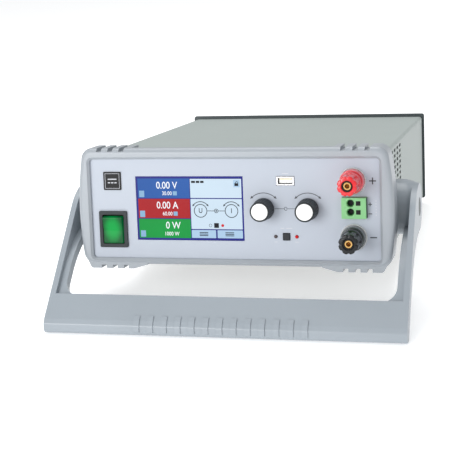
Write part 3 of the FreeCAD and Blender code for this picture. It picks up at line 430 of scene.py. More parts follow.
@dataclass(frozen=True)
class ScreenInk:
    """One colour of the lit screen, with its fine dot grid under glossy glass."""

    name: str
    colour: Colour
    power: float = 0.8
    shade: float = 0.10

    def make(self) -> bpy.types.Material:
        """Build the material.

        Returns:
            The finished material.
        """
        paint = Paint(self.name)
        point = paint.case_point()
        x, _, z = paint.axes(point)
        columns = (x / 0.2).repeat().above(0.86)
        rows = (z / 0.2).repeat().above(0.86)
        mask = (columns + rows) * 0.5
        backlight = paint.noise(point, 30.0, 1.0)
        level = mask * 0.35 + backlight * 0.4
        tint = paint.blend(level, self.colour, shaded(self.colour, 1.0 - 4.0 * self.shade))
        paint.set(
            Base_Color=paint.blend(0.85, tint, BLACK),
            Emission_Color=tint,
            Emission_Strength=self.power,
            Roughness=backlight * 0.05 + 0.22,
            Specular_IOR_Level=0.15,
        )
        return paint.material


SHELL_GREY = srgb(158, 164, 170)
HANDLE_GREY = srgb(150, 158, 165)


class Finishes:
    """All finishes of the instrument, each made once when it is first asked for."""

    RECIPES: Dict[str, Union[Finish, Glow, ScreenInk]] = {
        recipe.name: recipe
        for recipe in (
            Finish("bezel_plastic", SHELL_GREY, 0.34, drift=0.02, grain_mm=0.5, grain_depth_mm=0.012),
            Finish("handle_plastic", HANDLE_GREY, 0.32, drift=0.025, grain_mm=0.5, grain_depth_mm=0.012),
            Finish("cover_paint", srgb(164, 173, 170), 0.50, drift=0.025, grain_mm=0.9, grain_depth_mm=0.03),
            Finish("dark_edge_paint", srgb(52, 62, 64), 0.45, grain_mm=0.8),
            Finish("panel_foil", srgb(176, 183, 194), 0.42, drift=0.015, grain_mm=0.35, grain_depth_mm=0.006),
            Finish("zinc_sheet", srgb(176, 178, 176), 0.36, 0.9, 0.06, Grain.ALONG_Y, 0.8, 0.01),
            Finish("black_gloss", srgb(18, 19, 21), 0.22, drift=0.1, grain_mm=1.5,
                   grain_depth_mm=0.002, gleam=0.25),
            Finish("black_matt", srgb(24, 25, 27), 0.62, drift=0.1, grain_mm=0.5, gleam=0.2),
            Finish("rocker_rim", srgb(46, 50, 53), 0.42, drift=0.06, grain_mm=0.5,
                   grain_depth_mm=0.012, gleam=0.25),
            Finish("knob_slate", srgb(33, 38, 42), 0.46, drift=0.08, grain_mm=0.4,
                   grain_depth_mm=0.012, gleam=0.35),
            Finish("knob_cap_white", srgb(246, 246, 244), 0.32, drift=0.01, grain_depth_mm=0.003),
            Finish("key_slate", srgb(38, 41, 45), 0.50, drift=0.06, grain_mm=0.4, gleam=0.3),
            Finish("steel_plain", srgb(190, 190, 192), 0.28, 1.0, 0.05, Grain.ALONG_X, 0.5, 0.006),
            Finish("brass_turned", srgb(196, 156, 96), 0.22, 1.0, 0.08, Grain.ALONG_X, 0.4, 0.008),
            Finish("copper_wire", srgb(186, 104, 58), 0.30, 1.0, 0.10, Grain.EVEN, 1.2, 0.05),
            Finish("red_grip", srgb(214, 22, 32), 0.24, drift=0.05, grain_depth_mm=0.003,
                   soft=0.15, coat=0.4),
            # painted highlight: the large drift along Y gives lighter streaks for light in the clear red
            # plastic, on top of random tone
            Finish("red_clear", srgb(226, 78, 88), 0.16, drift=0.30, grain=Grain.ALONG_Y, grain_mm=1.8,
                   grain_depth_mm=0.03, clear=0.12, soft=0.3, coat=0.6),
            Finish("black_grip", srgb(20, 22, 24), 0.26, drift=0.1, grain_depth_mm=0.003,
                   coat=0.1, gleam=0.3),
            # painted highlight: the large drift along Y gives lighter streaks for light in the clear smoke
            # plastic, on top of random tone
            Finish("smoke_clear", srgb(62, 74, 72), 0.16, drift=0.45, grain=Grain.ALONG_Y, grain_mm=1.8,
                   grain_depth_mm=0.03, clear=0.12, coat=0.6),
            Finish("clear_ring", srgb(236, 238, 240), 0.12, drift=0.02, grain_depth_mm=0.0, clear=0.35),
            Finish("sense_green", srgb(126, 190, 128), 0.34, drift=0.04, grain_depth_mm=0.006, soft=0.15),
            # painted shade: a darker copy of the plug's green for its funnels and right end face
            Finish("sense_green_painted_shade", srgb(16, 70, 40), 0.40, drift=0.10),
            Finish("tongue_cream", srgb(238, 230, 206), 0.36, drift=0.03),
            Finish("panel_print", srgb(62, 64, 70), 0.55, drift=0.05, grain_mm=0.3, grain_depth_mm=0.002),
            Finish("pale_print", srgb(196, 198, 204), 0.50, drift=0.03, grain_depth_mm=0.002),
            Finish("badge_black", srgb(10, 10, 12), 0.30, drift=0.1, grain_depth_mm=0.001, gleam=0.2),
            Finish("lamp_dark", srgb(74, 62, 62), 0.20, drift=0.1, grain_depth_mm=0.0, coat=0.3),
            Finish("board_green", srgb(26, 92, 58), 0.35, drift=0.15, grain_mm=1.5, grain_depth_mm=0.03),
            Finish("aluminium_fin", srgb(186, 188, 190), 0.36, 0.95, 0.05, Grain.ALONG_Y, 0.8, 0.01),
            Finish("ferrite", srgb(44, 45, 48), 0.60, drift=0.15, grain_mm=1.2, grain_depth_mm=0.05),
            Finish("can_sleeve", srgb(26, 34, 58), 0.30, drift=0.08, grain_mm=2.0, grain_depth_mm=0.003),
            Finish("foot_rubber", srgb(34, 35, 37), 0.75, drift=0.12, grain_mm=0.6, grain_depth_mm=0.03),
            Glow("rocker_green", srgb(2, 172, 74), srgb(2, 92, 44), (-107.6, -19.5), (9.5, 14.0), 0.70),
            Glow("lamp_red", srgb(236, 30, 34), srgb(130, 10, 16), (55.6, -25.5), (1.7, 1.7), 0.6),
            ScreenInk("ink_navy", srgb(40, 44, 142), 0.78),
            ScreenInk("ink_blue", srgb(38, 96, 178), 0.84),
            ScreenInk("ink_red", srgb(182, 24, 32), 0.84),
            ScreenInk("ink_green", srgb(2, 160, 66), 0.84),
            ScreenInk("ink_pale", srgb(212, 232, 248), 0.80, 0.03),
            ScreenInk("ink_button", srgb(180, 212, 240), 0.78, 0.03),
            ScreenInk("ink_white", srgb(246, 250, 255), 0.86, 0.02),
            ScreenInk("ink_icon", srgb(150, 196, 232), 0.70, 0.05),
            ScreenInk("ink_black", srgb(26, 28, 40), 0.25),
            ScreenInk("ink_dot", srgb(226, 30, 40), 0.80),
        )
    }
    made: Dict[str, bpy.types.Material] = {}

    @classmethod
    def get(cls, name: str) -> bpy.types.Material:
        """The finish by name, made on first use.

        Args:
            name: One of the recipes' names.

        Returns:
            Its material.
        """
        if name not in cls.made:
            cls.made[name] = cls.RECIPES[name].make()
        return cls.made[name]


# === making pieces ==============================================================================
@dataclass(frozen=True)
class Role:
    """What a piece is for: the body it rides on, its record slot and the nodes it stands for."""

    body: str
    slot: str
    finish: str
    replaces: Tuple[str, ...] = ()


def settle(obj: bpy.types.Object, role: Role) -> bpy.types.Object:
    """Dress a piece, put it on its body and report it.

    Args:
        obj: The piece, with its place in its mesh.
        role: What the piece is for.

    Returns:
        The same piece.
    """
    obj.data.materials.clear()
    obj.data.materials.append(Finishes.get(role.finish))
    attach(obj, role.body)
    if role.replaces:
        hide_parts(*role.replaces)
    LOG.info("%s: %d faces on %s", obj.name, len(obj.data.polygons), role.body)
    return obj


def even_normals(obj: bpy.types.Object) -> None:
    """Keep flat faces flat beside their rounded edges."""
    modifier = obj.modifiers.new("even_normals", "WEIGHTED_NORMAL")
    modifier.keep_sharp = True


class Shape:
    """A closed form in case millimetres, shaped with bmesh operators."""

    SHARP = math.radians(38.0)
    WELD = 1e-4
    LEVEL = 1e-5

    def __init__(self) -> None:
        """Start with nothing."""
        self.bm = bmesh.new()

    def round_edges(self, edges: Sequence[bmesh.types.BMEdge], radius: float, segments: int = 3) -> "Shape":
        """Round some edges.

        Args:
            edges: The edges.
            radius: The rounding, in millimetres.
            segments: Faces across the rounding.

        Returns:
            This shape.
        """
        bmesh.ops.bevel(
            self.bm, geom=list(edges), offset=radius, offset_type="OFFSET", segments=segments,
            profile=0.5, affect="EDGES", material=-1, clamp_overlap=True,
        )
        return self

    def block(self, low: Point3, high: Point3, radius: float = 0.0, segments: int = 3) -> "Shape":
        """Add a block between two corners, its edges rounded.

        Args:
            low: Lowest corner.
            high: Highest corner.
            radius: Rounding of every edge.
            segments: Faces across the rounding.

        Returns:
            This shape.
        """
        verts = bmesh.ops.create_cube(self.bm, size=1.0)["verts"]
        size = Vector(high) - Vector(low)
        bmesh.ops.scale(self.bm, vec=size, verts=verts)
        bmesh.ops.translate(self.bm, vec=(Vector(low) + Vector(high)) / 2.0, verts=verts)
        if radius > 0.0:
            self.round_edges({edge for vert in verts for edge in vert.link_edges}, radius, segments)
        return self

    def tile(self, low: Point2, high: Point2, front: float, back: float, radius: float = 0.0) -> "Shape":
        """Add a plate that faces the front, its upright corners rounded.

        Args:
            low: Lower left corner in X and Z.
            high: Upper right corner in X and Z.
            front: Y of its face.
            back: Y of its back.
            radius: Rounding of its four corners.

        Returns:
            This shape.
        """
        verts = bmesh.ops.create_cube(self.bm, size=1.0)["verts"]
        size = Vector((high[0] - low[0], back - front, high[1] - low[1]))
        centre = Vector(((low[0] + high[0]) / 2.0, (front + back) / 2.0, (low[1] + high[1]) / 2.0))
        bmesh.ops.scale(self.bm, vec=size, verts=verts)
        bmesh.ops.translate(self.bm, vec=centre, verts=verts)
        if radius > 0.0:
            edges = {edge for vert in verts for edge in vert.link_edges}
            deep = [e for e in edges if abs(e.verts[0].co.y - e.verts[1].co.y) > self.LEVEL]
            self.round_edges(deep, radius, 5)
        return self

    def turned(self, profile: Sequence[Point2], centre: Point2, steps: int = 64,
               closed: bool = False) -> "Shape":
        """Add a turned form round an axis along Y.

        Args:
            profile: Radius and Y of each corner, in order.
            centre: X and Z of the axis.
            steps: Faces round the axis.
            closed: Whether the profile joins its own start.

        Returns:
            This shape.
        """
        verts = [self.bm.verts.new((centre[0] + radius, y, centre[1])) for radius, y in profile]
        pairs = list(zip(verts, verts[1:]))
        if closed:
            pairs.append((verts[-1], verts[0]))
        edges = [self.bm.edges.new(pair) for pair in pairs]
        bmesh.ops.spin(
            self.bm, geom=verts + edges, cent=(centre[0], 0.0, centre[1]), axis=(0.0, 1.0, 0.0),
            dvec=(0.0, 0.0, 0.0), angle=2.0 * math.pi, steps=steps, use_merge=True,
        )
        bmesh.ops.remove_doubles(self.bm, verts=self.bm.verts, dist=self.WELD)
        bmesh.ops.recalc_face_normals(self.bm, faces=self.bm.faces)
        return self

    def lobed(self, centre: Point2, count: int, depth: float, reach: Tuple[float, float],
              least: float) -> "Shape":
        """Press evenly spaced hollows into a turned form's outside.

        Args:
            centre: X and Z of the axis.
            count: How many hollows.
            depth: How deep each one is.
            reach: The Y range that gets them.
            least: Only points further out than this radius move.

        Returns:
            This shape.
        """
        for vert in self.bm.verts:
            out = Vector((vert.co.x - centre[0], 0.0, vert.co.z - centre[1]))
            if out.length < least or not reach[0] <= vert.co.y <= reach[1]:
                continue
            angle = math.atan2(out.z, out.x)
            hollow = max(0.0, math.cos(count * angle)) ** 1.5
            vert.co -= out.normalized() * depth * hollow
        return self

    def arc(self, centre: Point2, radius: float, width: float, start: float, sweep: float,
            front: float, back: float) -> "Shape":
        """Add a flat printed arc.

        Args:
            centre: X and Z of its centre.
            radius: Middle radius.
            width: Line width.
            start: Angle of its first end from +X, in degrees, turning towards +Z.
            sweep: How far it runs, in degrees.
            front: Y of its face.
            back: Y of its back.

        Returns:
            This shape.
        """
        turn = Matrix.Rotation(math.radians(-start), 4, "Y")
        corners = [
            Vector((radius - width / 2, front, 0)), Vector((radius + width / 2, front, 0)),
            Vector((radius + width / 2, back, 0)), Vector((radius - width / 2, back, 0)),
        ]
        shift = Vector((centre[0], 0.0, centre[1]))
        face = self.bm.faces.new([self.bm.verts.new((turn @ c) + shift) for c in corners])
        whole = abs(sweep) >= 360.0
        geometry = list(face.verts) + list(face.edges) + ([] if whole else [face])
        bmesh.ops.spin(
            self.bm, geom=geometry, cent=shift, axis=(0.0, -1.0, 0.0), dvec=(0.0, 0.0, 0.0),
            angle=math.radians(sweep), steps=max(6, int(abs(sweep) / 7.0)), use_merge=whole,
        )
        if whole:
            bmesh.ops.delete(self.bm, geom=[face], context="FACES_ONLY")
        bmesh.ops.recalc_face_normals(self.bm, faces=self.bm.faces)
        return self

    def outline(self, corners: Sequence[Point2], front: float, back: float) -> "Shape":
        """Add a flat form from its corners in X and Z.

        Args:
            corners: The corners in order.
            front: Y of its face.
            back: Y of its back.

        Returns:
            This shape.
        """
        face = self.bm.faces.new([self.bm.verts.new((x, front, z)) for x, z in corners])
        grown = bmesh.ops.extrude_face_region(self.bm, geom=[face])["geom"]
        moved = [item for item in grown if isinstance(item, bmesh.types.BMVert)]
        bmesh.ops.translate(self.bm, vec=(0.0, back - front, 0.0), verts=moved)
        bmesh.ops.recalc_face_normals(self.bm, faces=self.bm.faces)
        return self

    def piece(self, name: str, role: Role, smooth: bool = True) -> bpy.types.Object:
        """Finish the form as a piece of the instrument.

        Args:
            name: The piece's name.
            role: What the piece is for.
            smooth: Whether its curved faces are shaded as one.

        Returns:
            The new object.
        """
        for face in self.bm.faces:
            face.smooth = smooth
        for edge in self.bm.edges:
            if len(edge.link_faces) == 2 and edge.calc_face_angle(0.0) > self.SHARP:
                edge.smooth = False
        mesh = bpy.data.meshes.new(name)
        self.bm.transform(CASE.matrix)
        self.bm.to_mesh(mesh)
        self.bm.free()
        obj = bpy.data.objects.new(name, mesh)
        bpy.context.scene.collection.objects.link(obj)
        if smooth:
            even_normals(obj)
        return settle(obj, role)


@dataclass(frozen=True)
class SoftEdges:
    """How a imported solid's hard edges are rounded in its finer copy."""

    radius_mm: float = 0.5
    segments: int = 3
    angle: float = 32.0


def finer_copy(node: str, name: str, role: Role, edges: SoftEdges = SoftEdges()) -> bpy.types.Object:
    """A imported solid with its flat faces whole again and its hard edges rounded.

    Args:
        node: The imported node.
        name: The new piece's name.
        role: What the piece is for.
        edges: The rounding.

    Returns:
        The new object.
    """
    bm = bmesh.new()
    bm.from_mesh(frame["nodes"][node].data)
    bmesh.ops.remove_doubles(bm, verts=bm.verts, dist=WELD_M)
    bmesh.ops.dissolve_limit(bm, angle_limit=FLAT_ANGLE, verts=bm.verts, edges=bm.edges)
    for face in bm.faces:
        face.smooth = True
    mesh = bpy.data.meshes.new(name)
    bm.to_mesh(mesh)
    bm.free()
    obj = bpy.data.objects.new(name, mesh)
    bpy.context.scene.collection.objects.link(obj)
    bevel = obj.modifiers.new("soft_edges", "BEVEL")
    bevel.width = edges.radius_mm / 1000.0
    bevel.segments = edges.segments
    bevel.limit_method = "ANGLE"
    bevel.angle_limit = math.radians(edges.angle)
    bevel.use_clamp_overlap = True
    even_normals(obj)
    return settle(obj, Role(role.body, role.slot, role.finish, (node,)))


def dress(node: str, finish: str) -> None:
    """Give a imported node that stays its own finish.

    Args:
        node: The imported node.
        finish: The finish's name.
    """
    obj = frame["nodes"][node]
    material = Finishes.get(finish)
    if not obj.material_slots:
        obj.data.materials.append(material)
    for slot in obj.material_slots:
        slot.material = material
    LOG.info("%s: kept, %s", node, finish)


@dataclass(frozen=True)
class Lettering:
    """A number or sign in flat strokes."""

    text: str
    centre: Point2
    height: float
    front: float
    narrow: float = 0.86
    size_share: float = 1.42
    weight_share: float = 0.012
    thickness: float = 0.02

    def piece(self, name: str, role: Role) -> bpy.types.Object:
        """Build it as a mesh piece.

        Args:
            name: The piece's name.
            role: What the piece is for.

        Returns:
            The new object.
        """
        curve = bpy.data.curves.new(name + "_line", "FONT")
        curve.body = self.text
        curve.align_x = "CENTER"
        curve.align_y = "CENTER"
        curve.size = self.height * self.size_share
        curve.extrude = self.thickness
        curve.offset = self.height * self.weight_share
        source = bpy.data.objects.new(name + "_line", curve)
        mesh = bpy.data.meshes.new_from_object(source)
        bpy.data.objects.remove(source)
        upright = Matrix.Rotation(math.radians(90.0), 4, "X")
        place = Matrix.Translation((self.centre[0], self.front, self.centre[1]))
        mesh.transform(CASE.matrix @ place @ upright @ Matrix.Diagonal((self.narrow, 1.0, 1.0, 1.0)))
        mesh.name = name
        obj = bpy.data.objects.new(name, mesh)
        bpy.context.scene.collection.objects.link(obj)
        return settle(obj, role)


# === sub-assemblies =============================================================================
@dataclass
class Enclosure:
    """Bezel, painted cover, tray, rear frame and feet."""

    bezel_edge: SoftEdges = field(default_factory=lambda: SoftEdges(0.7, 3, 30.0))
    frame_edge: SoftEdges = field(default_factory=lambda: SoftEdges(0.6, 3, 30.0))
    vent_first: Point2 = (40.3, 36.0)
    vent_pitch: Point2 = (20.2, 5.1)
    vent_half: Point2 = (5.98, 1.48)
    vent_columns: int = 6
    vent_rows: int = 14
    hub_clearance: float = 33.0

    def build(self) -> None:
        """Make and dress the outer case."""
        finer_copy("front_bezel", "bezel", Role("case", "shell_grey", "bezel_plastic"), self.bezel_edge)
        finer_copy("rear_frame", "rear_edge_frame", Role("case", "dark_frame", "dark_edge_paint"),
                   self.frame_edge)
        for node, finish in (
            ("top_cover", "cover_paint"), ("bottom_tray", "zinc_sheet"), ("rear_panel", "cover_paint"),
            ("rear_feet", "foot_rubber"), ("rear_screws", "steel_plain"), ("tray_screws", "steel_plain"),
        ):
            dress(node, finish)
        self.build_vent_painted_shade()

    def build_vent_painted_shade(self) -> None:
        """Make dark blocks that fill the side vent slots and a dark sheet behind them, painted shade standing
        in for the dark inside of the case.
        """
        vent_shade = Shape()
        hub = CASE.pivot_in_case
        half_y, half_z = self.vent_half
        for side in (-1.0, 1.0):
            inner, outer = sorted((side * 125.9, side * 126.2))
            near, far = sorted((side * 126.1, side * 127.4))
            # painted shade: a dark sheet behind the vents and a dark block in each vent slot
            vent_shade.block((inner, 33.0, -34.0), (outer, 152.0, 39.0))
            for column in range(self.vent_columns):
                for row in range(self.vent_rows):
                    y = self.vent_first[0] + column * self.vent_pitch[0]
                    z = self.vent_first[1] - row * self.vent_pitch[1]
                    if math.hypot(y - hub.y, z - hub.z) >= self.hub_clearance:
                        vent_shade.block((near, y - half_y, z - half_z), (far, y + half_y, z + half_z))
        vent_shade.piece("vent_painted_shade", Role("case", "matt_black", "black_matt"), smooth=False)


@dataclass
class CarryHandle:
    """The bow handle with its hubs, bolts and release buttons."""

    edge: SoftEdges = field(default_factory=lambda: SoftEdges(0.35, 3, 28.0))

    def build(self) -> None:
        """Make the handle and its pivots."""
        finer_copy("carry_handle", "bow_handle", Role("handle", "handle_grey", "handle_plastic"), self.edge)
        for side in ("left", "right"):
            finer_copy("pivot_boss_" + side, "hub_boss_" + side,
                       Role("case", "shell_grey", "bezel_plastic"), SoftEdges(0.6, 3, 30.0))
            finer_copy("lock_button_" + side, "release_button_" + side,
                       Role("lock_" + side, "dark_frame", "dark_edge_paint"), SoftEdges(0.4, 2, 40.0))
            dress("pivot_bolt_" + side, "steel_plain")


@dataclass
class Screen:
    """The lit touch screen: three reading rows at the left, status and buttons at the right."""

    low: Point2 = (-85.95, -29.65)
    high: Point2 = (9.95, 26.25)
    glass: float = 4.25
    step: float = 0.05
    ink: float = 0.045

    def at(self, across: float, down: float) -> Point2:
        """A place on the screen.

        Args:
            across: Share of the width from the upper left corner.
            down: Share of the height from the same corner.

        Returns:
            X and Z of the place.
        """
        width = self.high[0] - self.low[0]
        height = self.high[1] - self.low[1]
        return self.low[0] + across * width, self.high[1] - down * height

    def role(self, finish: str, *replaced: str) -> Role:
        """Role of one colour of the screen."""
        return Role("case", "display", finish, replaced)

    def patch(self, shape: Shape, box: Tuple[float, float, float, float], layer: int,
              radius: float = 0.0) -> None:
        """Add one coloured patch.

        Args:
            shape: The shape of that colour.
            box: Left, top, right and bottom as shares of the screen.
            layer: How many steps it lies in front of the border.
            radius: Rounding of its corners.
        """
        left, top = self.at(box[0], box[1])
        right, bottom = self.at(box[2], box[3])
        front = self.glass - layer * self.step
        shape.tile((left, bottom), (right, top), front, front + self.ink, radius)

    def build(self) -> None:
        """Make the border, the patches, the icons and the numbers."""
        border = Shape()
        border.tile(self.low, self.high, self.glass, 5.85, 0.6)
        border.piece("screen_border", self.role("ink_navy", "display_glass"), smooth=False)
        self.build_rows()
        self.build_status()
        self.build_readings()

    def build_rows(self) -> None:
        """Make the three coloured reading rows with their corner icons."""
        icons = Shape()
        for name, finish, top, bottom in (
            ("volt", "ink_blue", 0.034, 0.340), ("ampere", "ink_red", 0.352, 0.655),
            ("watt", "ink_green", 0.668, 0.966),
        ):
            row = Shape()
            self.patch(row, (0.018, top, 0.505, bottom), 1)
            row.piece("screen_row_" + name, self.role(finish), smooth=False)
            self.patch(icons, (0.030, bottom - 0.115, 0.078, bottom - 0.014), 2, 0.3)
        for down in (0.265, 0.583):
            self.patch(icons, (0.348, down - 0.032, 0.386, down + 0.032), 2, 0.2)
        icons.piece("screen_row_icons", self.role("ink_icon"), smooth=False)

    def build_status(self) -> None:
        """Make the pale boxes of the right half and what is drawn in them."""
        pale = Shape()
        self.patch(pale, (0.512, 0.040, 0.985, 0.336), 1, 0.3)
        self.patch(pale, (0.512, 0.352, 0.985, 0.822), 1, 0.3)
        pale.piece("screen_status", self.role("ink_pale"), smooth=False)
        buttons = Shape()
        self.patch(buttons, (0.512, 0.838, 0.738, 0.962), 1, 0.5)
        self.patch(buttons, (0.752, 0.838, 0.985, 0.962), 1, 0.5)
        self.patch(buttons, (0.912, 0.055, 0.972, 0.170), 2, 0.4)
        buttons.piece("screen_buttons", self.role("ink_button"), smooth=False)
        self.build_drawing()
        dot = Shape()
        dot.turned(self.disc(1.25, 2), self.at(0.802, 0.764), 24)
        dot.piece("screen_red_dot", self.role("ink_dot"), smooth=False)

    def disc(self, radius: float, layer: int) -> List[Point2]:
        """Profile of a flat round patch."""
        front = self.glass - layer * self.step
        return [(0.0, front), (radius, front), (radius, front + self.ink), (0.0, front + self.ink)]

    def build_drawing(self) -> None:
        """Make the black line drawing: two dials, the link between them, the key and the padlock."""
        lines = Shape()
        front = self.glass - 2 * self.step
        back = front + self.ink
        dials = (self.at(0.602, 0.537), self.at(0.888, 0.537))
        for dial in dials:
            lines.arc(dial, 5.6, 0.62, 0.0, 360.0, front, back)
            lines.arc(dial, 8.0, 0.62, 42.0, 96.0, front, back)
            for angle, turn in ((42.0, -1.0), (138.0, 1.0)):
                self.arrow(lines, dial, 8.0, angle, turn, 2.0, front, back)
        middle = self.at(0.747, 0.537)
        lines.arc(middle, 1.6, 0.5, 0.0, 360.0, front, back)
        lines.turned(self.disc(0.7, 2), middle, 16)
        lines.tile((dials[0][0] + 5.8, middle[1] - 0.24), (middle[0] - 1.7, middle[1] + 0.24), front, back)
        lines.tile((middle[0] + 1.7, middle[1] - 0.24), (dials[1][0] - 5.8, middle[1] + 0.24), front, back)
        key = self.at(0.745, 0.764)
        lines.tile((key[0] - 2.1, key[1] - 2.1), (key[0] + 2.1, key[1] + 2.1), front, back, 0.3)
        lines.arc(self.at(0.690, 0.764), 1.25, 0.30, 0.0, 360.0, front, back)
        lock = self.at(0.941, 0.125)
        lines.tile((lock[0] - 1.7, lock[1] - 1.4), (lock[0] + 1.7, lock[1] + 1.0), front - 0.05, back, 0.2)
        lines.arc((lock[0] + 0.4, lock[1] + 1.2), 1.15, 0.45, -5.0, 200.0, front - 0.05, back)
        for left, down in ((0.585, 0.900), (0.825, 0.900)):
            for bar in range(3):
                top = down - 0.030 + bar * 0.024
                bottom = down - 0.018 + bar * 0.024
                self.patch(lines, (left, top, left + 0.08, bottom), 2)
        for left, right in ((0.524, 0.560), (0.568, 0.600), (0.608, 0.640)):
            self.patch(lines, (left, 0.070, right, 0.104), 2)
        lines.piece("screen_drawing", self.role("ink_black"), smooth=False)

    @staticmethod
    def arrow(shape: Shape, centre: Point2, radius: float, angle: float, turn: float, size: float,
              front: float, back: float) -> None:
        """Add an arrowhead to the end of an arc.

        Args:
            shape: The shape that gets it.
            centre: X and Z of the arc's centre.
            radius: The arc's radius.
            angle: Where the arc ends, in degrees.
            turn: -1 where the head points clockwise, 1 where it points the other way.
            size: Length of the head.
            front: Y of its face.
            back: Y of its back.
        """
        at = math.radians(angle)
        out = Vector((math.cos(at), math.sin(at)))
        ahead = Vector((-out.y, out.x)) * turn
        base = Vector(centre) + out * radius
        corners = [base + out * size * 0.45, base + ahead * size, base - out * size * 0.45]
        shape.outline([(c.x, c.y) for c in corners], front, back)

    def build_readings(self) -> None:
        """Make the white numbers of the rows and the two dial letters."""
        front = self.glass - 2 * self.step
        white = self.role("ink_white")
        for name, text, across, down, height in (
            ("volt", "0.00 V", 0.292, 0.145, 6.0), ("volt_set", "30.00", 0.292, 0.268, 3.3),
            ("ampere", "0.00 A", 0.292, 0.456, 6.0), ("ampere_set", "60.00", 0.292, 0.586, 3.3),
            ("watt", "0 W", 0.340, 0.772, 6.0), ("watt_set", "1000 W", 0.325, 0.902, 3.3),
        ):
            Lettering(text, self.at(across, down), height, front).piece("reading_" + name, white)
        black = self.role("ink_black")
        for text, across in (("U", 0.602), ("I", 0.888)):
            Lettering(text, self.at(across, 0.537), 4.2, front).piece("dial_letter_" + text.lower(), black)


@dataclass
class FrontPanel:
    """Printed panel with its badge, printed signs, key, lamps and data socket."""

    face: float = 4.0
    print_depth: float = 0.06
    knob_x: Tuple[float, float] = (27.6, 65.9)
    knob_z: float = -1.6
    lamp_z: float = -25.5

    def build(self) -> None:
        """Make and dress everything fixed to the panel."""
        dress("front_panel", "panel_foil")
        self.build_badge()
        self.build_print()
        finer_copy("output_button", "output_key", Role("output_key", "matt_black", "key_slate"),
                   SoftEdges(0.35, 3, 30.0))
        finer_copy("usb_shell", "data_socket_shell", Role("case", "steel", "steel_plain"),
                   SoftEdges(0.12, 2, 40.0))
        dress("usb_tongue", "tongue_cream")
        self.build_socket_painted_shade_and_light()
        self.build_lamp("standby_led", "lamp_dark", 37.4, "led_dark")
        self.build_lamp("output_led", "lamp_red", 55.6, "led_red")

    def build_socket_painted_shade_and_light(self) -> None:
        """Make a thin dark line round the data socket, painted shade of the gap between shell and panel, and
        a pale plate in its mouth, painted light standing in for its lit inside.
        """
        # painted shade: a thin dark line on the panel face round the socket shell
        outline = Shape()
        left, right, bottom, top = 39.1, 54.9, 18.2, 26.4
        for low, high in (
            ((left, bottom), (left + 0.35, top)), ((right - 0.35, bottom), (right, top)),
            ((left, bottom), (right, bottom + 0.35)), ((left, top - 0.35), (right, top)),
        ):
            outline.tile(low, high, self.face - 0.05, self.face)
        outline.piece("data_socket_gap_painted_shade", Role("case", "matt_black", "panel_print"), smooth=False)
        # painted light: a pale plate behind the opening stands in for the lit inside of the socket
        socket_light = Shape().tile((41.4, 20.2), (52.6, 24.4), 5.6, 5.9)
        socket_light.piece("data_socket_painted_light", Role("case", "cap_white", "knob_cap_white"), smooth=False)

    def build_lamp(self, node: str, finish: str, x: float, slot: str) -> None:
        """Make one domed lamp.

        Args:
            node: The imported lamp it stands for.
            finish: Its finish.
            x: Where it is.
            slot: Its record slot.
        """
        dome = [(1.5 * math.cos(math.radians(a)), 3.6 - 1.3 * math.sin(math.radians(a)))
                for a in range(0, 91, 15)]
        lamp = Shape().turned([(0.0, 10.0), (1.5, 10.0)] + dome[:-1] + [(0.0, 2.3)], (x, self.lamp_z), 32)
        lamp.piece(node.replace("led", "lamp"), Role("case", slot, finish, (node,)))

    def build_badge(self) -> None:
        """Make the plain black badge with a thin frame line and the sign for direct current."""
        tile = Shape().tile((-115.0, 14.3), (-99.0, 30.3), 3.2, 4.0, 0.7)
        tile.piece("badge_tile", Role("case", "black_plastic", "badge_black", ("badge_plate",)), smooth=False)
        lines = Shape()
        for low, high in (
            ((-113.6, 28.6), (-100.4, 28.9)), ((-113.6, 15.7), (-100.4, 16.0)),
            ((-113.6, 16.0), (-113.3, 28.6)), ((-100.7, 16.0), (-100.4, 28.6)),
            ((-111.0, 23.4), (-103.0, 24.3)), ((-111.0, 20.3), (-108.9, 21.2)),
            ((-108.05, 20.3), (-105.95, 21.2)), ((-105.1, 20.3), (-103.0, 21.2)),
        ):
            lines.tile(low, high, 3.14, 3.22)
        lines.piece("badge_lines", Role("case", "cap_white", "pale_print"), smooth=False)

    def build_print(self) -> None:
        """Make the printed arcs, link line and polarity signs."""
        signs = Shape()
        front = self.face - self.print_depth
        for x in self.knob_x:
            centre = (x, self.knob_z - 1.6)
            signs.arc(centre, 15.2, 0.62, 51.0, 78.0, front, self.face)
            for angle, turn in ((51.0, -1.0), (129.0, 1.0)):
                Screen.arrow(signs, centre, 15.2, angle, turn, 2.6, front, self.face)
        middle = sum(self.knob_x) / 2.0
        signs.arc((middle, -1.5), 1.35, 0.42, 30.0, 300.0, front, self.face)
        for low, high in (
            ((self.knob_x[0] + 9.4, -1.7), (middle - 1.4, -1.3)),
            ((middle + 0.2, -1.7), (self.knob_x[1] - 9.4, -1.3)),
            ((117.9, 21.8), (123.7, 22.8)), ((120.3, 19.4), (121.3, 25.2)),
            ((117.9, -26.0), (123.7, -25.0)),
            ((116.8, 2.25), (120.0, 2.95)), ((118.05, 1.0), (118.75, 4.2)),
            ((116.8, -5.75), (120.0, -5.05)),
        ):
            signs.tile(low, high, front, self.face)
        signs.piece("panel_signs", Role("case", "matt_black", "panel_print"), smooth=False)
        hints = Shape()
        for low, high in (
            ((44.2, 28.2), (49.8, 28.9)), ((41.6, -18.6), (44.9, -18.0)), ((46.6, -18.6), (51.8, -18.0)),
            ((36.2, -30.4), (38.8, -29.9)), ((53.8, -30.4), (57.4, -29.9)),
        ):
            hints.tile(low, high, front, self.face)
        for step in range(6):
            height = 5.5 - step * 2.4
            hints.tile((122.9, height - 0.5), (123.7, height + 0.5), front, self.face)
        hints.piece("panel_hint_bars", Role("case", "matt_black", "pale_print"), smooth=False)


